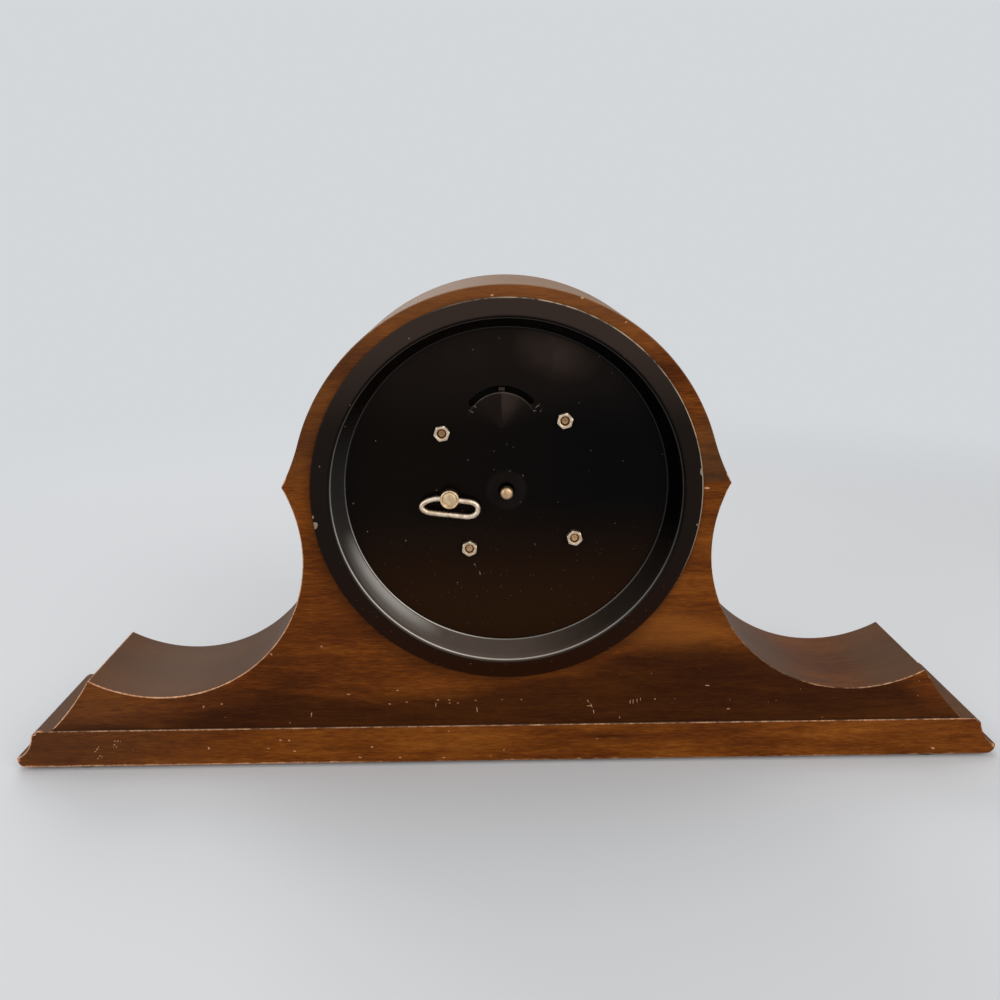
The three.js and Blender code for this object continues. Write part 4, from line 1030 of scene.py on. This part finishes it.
def hex_nut(name, place, turn):
    half = NUT_FLATS / 2
    points, rings, wear = [], [], []
    for r, cut, b, fall, rub in NUT_RINGS:
        rings.append(upcoming(points, NUT_SIDES))
        for k in range(NUT_SIDES):
            angle = tau * k / NUT_SIDES
            sector = (angle + pi / 6) % (pi / 3) - pi / 6
            flat = min(half / cos(pi / 6 - abs(sector)), half / cos(pi / 6) - 0.07)
            reach = min(r, flat - cut)
            x, z = polar(reach, angle + turn, place)
            points.append((x, BACK - b - fall * max(0, reach - half), DIAL + z))
            wear.append(rub)
    return shaped(name, points, bridged(rings), wear)


def nuts_and_pillars():
    end = [(0, 8.25), (0.35, 8.1), (0.5, 7.86), (1.0, 7.82), (1.25, 8.0)]
    thread = threaded(8.3, 10.6, 0.3, 0.14, 1.45, 1.28) + [(1.45, 11.0)]
    pillar = rounded([
        (3, 11.0, 0.3), (3, 13.9, 0.3), (2, 13.9, 0), (2, 35.9, 0), (1.2, 35.9, 0), (1.2, 37.7, 0.2),
        (0, 37.7, 0),
    ], 3)
    profile = end + thread + pillar
    for i, place in enumerate(STUDS):
        nut = hex_nut(f"hex_nut_{i + 1}", place, radians(NUT_TURNS[i]))
        dress(nut, f"nut_{i + 1}", crease=24, paint=PAINT["nut"])
        node = f"pillar_{i + 1}"
        spun(f"threaded_pillar_{i + 1}", profile, 36, node, place=place, paint=PAINT["aged"])


# Folding key: the bent wire's centre line in the key's own frame, with a lead at both ends
BAIL_LINE = [
    (2.3, -0.3), (2.9, -0.3), (3.9, -0.4), (5.3, -0.65), (6.9, -1.2), (8.5, -2.05), (9.6, -3.1),
    (9.95, -4.15), (9.5, -5.1), (8.3, -5.8), (6.7, -6.15), (2.7, -6.2), (-1.3, -6.15), (-5.2, -6.2),
    (-7.5, -6.1), (-9.4, -5.5), (-10.5, -4.4), (-10.8, -2.95), (-10.4, -1.7), (-9.4, -0.85),
    (-8.0, -0.45), (-6.0, -0.35), (-3.9, -0.32), (-2.9, -0.3), (-2.3, -0.3),
]


def bail_path():
    """The centre line smoothed, each span curved by the points on both sides of it."""
    path = []
    for span in zip(BAIL_LINE, BAIL_LINE[1:], BAIL_LINE[2:], BAIL_LINE[3:]):
        for t in (0, 0.25, 0.5, 0.75):
            path.append(blend((
                (-t + 2 * t ** 2 - t ** 3) / 2,
                (2 - 5 * t ** 2 + 3 * t ** 3) / 2,
                (t + 4 * t ** 2 - 3 * t ** 3) / 2,
                (t ** 3 - t ** 2) / 2,
            ), span))
    return path + [BAIL_LINE[-2]]


def wire(stations, radius, sides):
    """Points and rings of a round wire through (place, heading) stations in the key's own frame."""
    points, rings = [], []
    for place, heading in stations:
        rings.append(upcoming(points, sides))
        for aside, rise in circle((0, 0), radius, sides):
            x, z = beside(WINDING, radians(BAIL_TILT), *beside(place, heading, 0, aside))
            points.append((x, BACK - BAIL_DEPTH + rise, DIAL + z))
    return points, rings


def winding_key():
    hub_profile = rounded([
        (1.5, 5.0, 0), (2.6, 5.0, 0.15), (2.8, 4.42, 0.25), (3.3, 4.42, 0.2), (3.55, 4.75, 0.2),
        (3.55, 9.2, 0.3), (1.5, 9.2, 0),
    ], 4)
    hub = shaped("turned_hub", *turned(hub_profile, 72, WINDING))
    tools = []
    for side in (-1, 1):
        stations = [((side * reach, -BAIL_LOWER), 0) for reach in (2.0, 4.4)]
        points, rings = wire(stations, BAIL_WIRE + BAIL_ROOM, 28)
        tools.append(shaped("tool", points, bridged(rings, False) + rings))
    dress(carve(hub, *tools), "key_hub", crease=28, paint=PAINT["hub"])

    path = bail_path()
    ways = zip(path[:1] + path[:-1], path[1:] + path[-1:])
    stations = [(place, bearing(before, after)) for place, (before, after) in zip(path, ways)]
    points, rings = wire(stations, BAIL_WIRE, BAIL_SIDES)
    faces = bridged(rings, False) + [rings[0], rings[-1]]
    dress(shaped("wire_bail", points, faces), "key_bail", crease=50)

    arbor = rounded([
        (0, 4.78, 0), (1.9, 4.8, 0.6), (2.5, 4.95, 0.05), (1.3, 4.97, 0), (1.3, 9.4, 0), (2, 9.4, 0.2),
        (2, 15.7, 0), (2.6, 15.7, 0), (2.6, 35.8, 0), (1.5, 35.8, 0), (1.5, 37.7, 0.2), (0, 37.7, 0),
    ], 4, False)
    spun("peened_arbor", arbor, 48, "winding_arbor", place=WINDING, slot="nickel", paint=PAINT["hub"])


def setting_stem():
    stem = rounded([
        (0, 3.9, 0), (1.5, 4.0, 0.6), (2.25, 4.6, 0.5), (2.45, 5.4, 0.5), (2.45, 6.5, 0.2), (1.6, 6.9, 0.2),
        (1.6, 12.4, 0.2), (0.7, 12.4, 0), (0.7, 53.8, 0.2), (0, 53.8, 0),
    ], 6, False)
    spun("domed_stem", stem, 56, "center_arbor", paint=PAINT["stem"])


# Front: bezel, glass, dial and hands
def bezel_and_glass():
    bezel = rounded([
        (71, 47.1, 0.1), (71, 48.0, 0.5), (69.9, 48.6, 0.4), (68.6, 52.0, 1.6), (64.9, 54.9, 0.8),
        (64.3, 55.3, 0.4), (61.3, 55.6, 0.5), (60.3, 54.75, 0.3), (63.6, 53.8, 0.5), (67.2, 50, 0.8),
        (67.9, 47.1, 0.1),
    ], 6)
    spun("rolled_bezel", bezel, 200, "bezel")
    stations = [i / 24 for i in range(25)]
    front = [(63.2 * t, 53.2 + 5 * (1 - t * t)) for t in stations]
    rear = [(r, b - 1.5) for r, b in reversed(front)]
    spun("domed_glass", front + rear, 160, "glass", crease=40)
    sight = rounded([
        (57.2, 48.5, 0.1), (57.8, 48.5, 0.1), (63.2, 51.1, 0.1), (63.2, 51.5, 0.1), (60, 50.6, 1.2),
        (57.3, 49.3, 0.4),
    ], 5)
    spun("sight_collar", sight, 200, "sight_ring")
    face = rounded([(2.8, 48.1, 0), (2.8, DIAL_TOP, 0.08), (61, DIAL_TOP, 0.08), (61, 48.1, 0)], 3)
    spun("printed_dial", face, 200, "dial_face")


def minute_marks():
    points, faces = [], []
    for minute in range(60):
        wide, inner = (0.16, 52.1) if minute % 5 else (0.55, 50.9)
        corners = [(inner, -wide), (54.3, -wide), (54.3, wide), (inner, wide)]
        loop = [beside((0, 0), radians(90 - 6 * minute), u, v) for u, v in corners]
        faces += [[len(points) + i for i in face] for face in prism_faces(len(loop))]
        points += prism_points(loop, DIAL_TOP, PRINT_TOP)
    return shaped("minute_marks", points, faces)


def numeral(hour):
    text = bpy.data.curves.new("numeral", "FONT")
    text.body = str(hour)
    text.size = NUMERAL_SIZE * MM
    text.extrude = (PRINT_TOP - DIAL_TOP) / 2 * MM
    text.align_x = "CENTER"
    text.align_y = "CENTER"
    text.resolution_u = 8
    letter = placed("numeral", text)
    bpy.context.view_layer.update()
    mesh = bpy.data.meshes.new_from_object(letter)
    bpy.data.objects.remove(letter)
    x, z = polar(NUMERAL_RADIUS, radians(90 - 30 * hour))
    xs = [v.co.x for v in mesh.vertices]
    ys = [v.co.y for v in mesh.vertices]
    centred = Matrix.Translation((-(min(xs) + max(xs)) / 2, -(min(ys) + max(ys)) / 2, 0))
    narrow = Matrix.Diagonal((NUMERAL_WIDTH, 1, 1, 1))
    upright = Matrix.Rotation(pi / 2, 4, "X")
    middle = (x * MM, (BACK - (DIAL_TOP + PRINT_TOP) / 2) * MM, (DIAL + z) * MM)
    mesh.transform(Matrix.Translation(middle) @ upright @ narrow @ centred)
    return placed(f"numeral_{hour}", mesh)


def dial_print():
    """Numerals, minute track and hour marks, each a very thin raised print on the dial."""
    dress(minute_marks(), **PRINT)
    for i, (inner, outer) in enumerate(((54.3, 54.65), (50.55, 50.75), (30.4, 30.6))):
        line = [(inner, DIAL_TOP), (outer, DIAL_TOP), (outer, PRINT_TOP), (inner, PRINT_TOP)]
        spun(f"track_line_{i + 1}", line, 180, **PRINT)
    for hour in range(1, 13):
        dress(numeral(hour), **PRINT)


def spade_hand(name, node, length, turn, back, front, boss, hole):
    """A spade hand with softly bevelled edges on a round boss."""
    ahead = radians(90 - turn)
    neck = asin(0.95 / boss)
    right = arc((0, 0), boss, -pi, -neck, 24)
    right += bend((boss + 0.4, -0.9), (0.3 * length, -0.75), (0.60 * length, -0.75), 10)
    right += bend((0.62 * length, -0.8), (0.655 * length, -2.1), (0.715 * length, -2.35), 8)
    right += bend((0.74 * length, -2.4), (0.80 * length, -2.2), (0.86 * length, -0.85), 10)[1:]
    right += bend((0.87 * length, -0.72), (0.93 * length, -0.42), (length, 0), 8)
    loop = right + [(u, -v) for u, v in right[-2:0:-1]]
    points = []

    def ring(places, b):
        made = upcoming(points, len(places))
        for u, v in places:
            x, z = beside((0, 0), ahead, u, v)
            points.append((x, BACK - b, DIAL + z))
        return made

    levels = [(0.12, back), (0, back + 0.12), (0, front - 0.2), (0.12, front - 0.06), (0.28, front)]
    rings = [ring(inset(loop, depth, [(length, 0)], 0.07), b) for depth, b in levels]
    bores = [ring(circle((0, 0), hole, 40, -pi), b) for b in (back, front)]
    dress(shaped(name, points, bored(points, rings, bores, hole)), node, crease=28)


def hands():
    spade_hand("blued_hour_hand", "hour_hand", 33, HOUR_TURN, 49.6, 50.1, 4, 2.5)
    spade_hand("blued_minute_hand", "minute_hand", 49, MINUTE_TURN, 51.6, 52.1, 3.2, 1.7)
    nut = rounded([(0.9, 52.4, 0), (2, 52.4, 0.1), (2, 53.0, 0.3), (1.4, 53.6, 0.3), (0.9, 53.6, 0.1)], 4)
    spun("dial_nut", nut, 40, "hand_nut")


def finish_nodes():
    """Paints the solids that stay in view or stay inside."""
    for name, node in frame["nodes"].items():
        node.data.materials.clear()
        node.data.materials.append(DARK.get(name, PAINT[SLOT_OF[name]]))


# Stage
def floor():
    """A pale floor that gives way to the pale backdrop away from the clock."""
    p = Paint("floor", {"Roughness": 0.8, "Specular IOR Level": 0.1})
    p.colour = p.mix(p.noise(3, 2, 0.5), (0.71, 0.72, 0.73, 1), (0.74, 0.75, 0.76, 1))
    p.finish()
    far = p.node("VectorMath", {0: p.place}, operation="LENGTH").outputs["Value"]
    clear = p.node("BsdfTransparent").outputs[0]
    both = p.node("MixShader", {0: p.step(far, 0.36, 0.82), 1: p.shader.outputs[0], 2: clear})
    p.tree.links.new(both.outputs[0], p.tree.nodes["Material Output"].inputs["Surface"])
    points = [(x, y, 0) for x, y in circle((0, 0), FLOOR_RADIUS, FLOOR_SIDES)]
    ground = shaped("floor", points, [list(range(FLOOR_SIDES))])
    ground.data.materials.append(p.material)


def backdrop():
    """Even light from all round, and a pale backdrop where it is looked at or mirrored."""
    world = bpy.data.worlds.new("studio")
    world.use_nodes = True
    tree = world.node_tree
    sky = tree.nodes["Background"]
    sky.inputs["Color"].default_value = (0.95, 0.97, 1, 1)
    sky.inputs["Strength"].default_value = 0.42
    pale = add_node(tree, "Background", {"Color": (0.66, 0.68, 0.70, 1)})
    rays = add_node(tree, "LightPath").outputs
    seen = rays["Is Camera Ray"]
    for ray in ("Is Glossy Ray", "Is Transmission Ray"):
        seen = add_node(tree, "Math", {0: seen, 1: rays[ray]}, operation="MAXIMUM").outputs[0]
    both = add_node(tree, "MixShader", {0: seen, 1: sky.outputs[0], 2: pale.outputs[0]})
    tree.links.new(both.outputs[0], tree.nodes["World Output"].inputs["Surface"])
    bpy.context.scene.world = world


def soft_light(name, place, size, power, colour=(1, 1, 1)):
    lamp = bpy.data.lights.new(name, "AREA")
    lamp.shape = "DISK"
    lamp.size = size
    lamp.energy = power
    lamp.color = colour
    holder = placed(name, lamp)
    holder.location = place
    holder.rotation_euler = (Vector(LIGHT_AIM) - Vector(place)).to_track_quat("-Z", "Y").to_euler()


def stage():
    floor()
    soft_light("key", (-0.62, 0.95, 0.62), 1.0, 7.0, (1, 0.98, 0.95))
    soft_light("fill", (0.9, 0.9, 0.5), 0.9, 4.0, (0.95, 0.97, 1))
    soft_light("top", (0.1, -0.15, 1.2), 0.8, 3.0)
    soft_light("front", (0.5, -1.1, 0.8), 0.9, 5.0)
    backdrop()
    bpy.context.scene.view_settings.view_transform = "Standard"


def camera():
    yaw, pitch, roll = (radians(a) for a in CAMERA_TURN)
    x, behind, height = CAMERA_PLACE
    lens = bpy.data.cameras.new("camera")
    lens.lens = CAMERA_LENS
    lens.sensor_width = CAMERA_SENSOR
    holder = placed("camera", lens)
    holder.location = (x * MM, (BACK + behind) * MM, (BASE + height) * MM)
    look = Vector((-sin(yaw) * cos(pitch), -cos(yaw) * cos(pitch), -sin(pitch)))
    turn = look.to_track_quat("-Z", "Y") @ Quaternion((0, 0, 1), roll)
    holder.rotation_euler = turn.to_euler()
    bpy.context.scene.camera = holder


finish_nodes()
case_body()
plinth()
screws_and_pads()
back_cover()
nuts_and_pillars()
winding_key()
setting_stem()
bezel_and_glass()
dial_print()
hands()
stage()
camera()
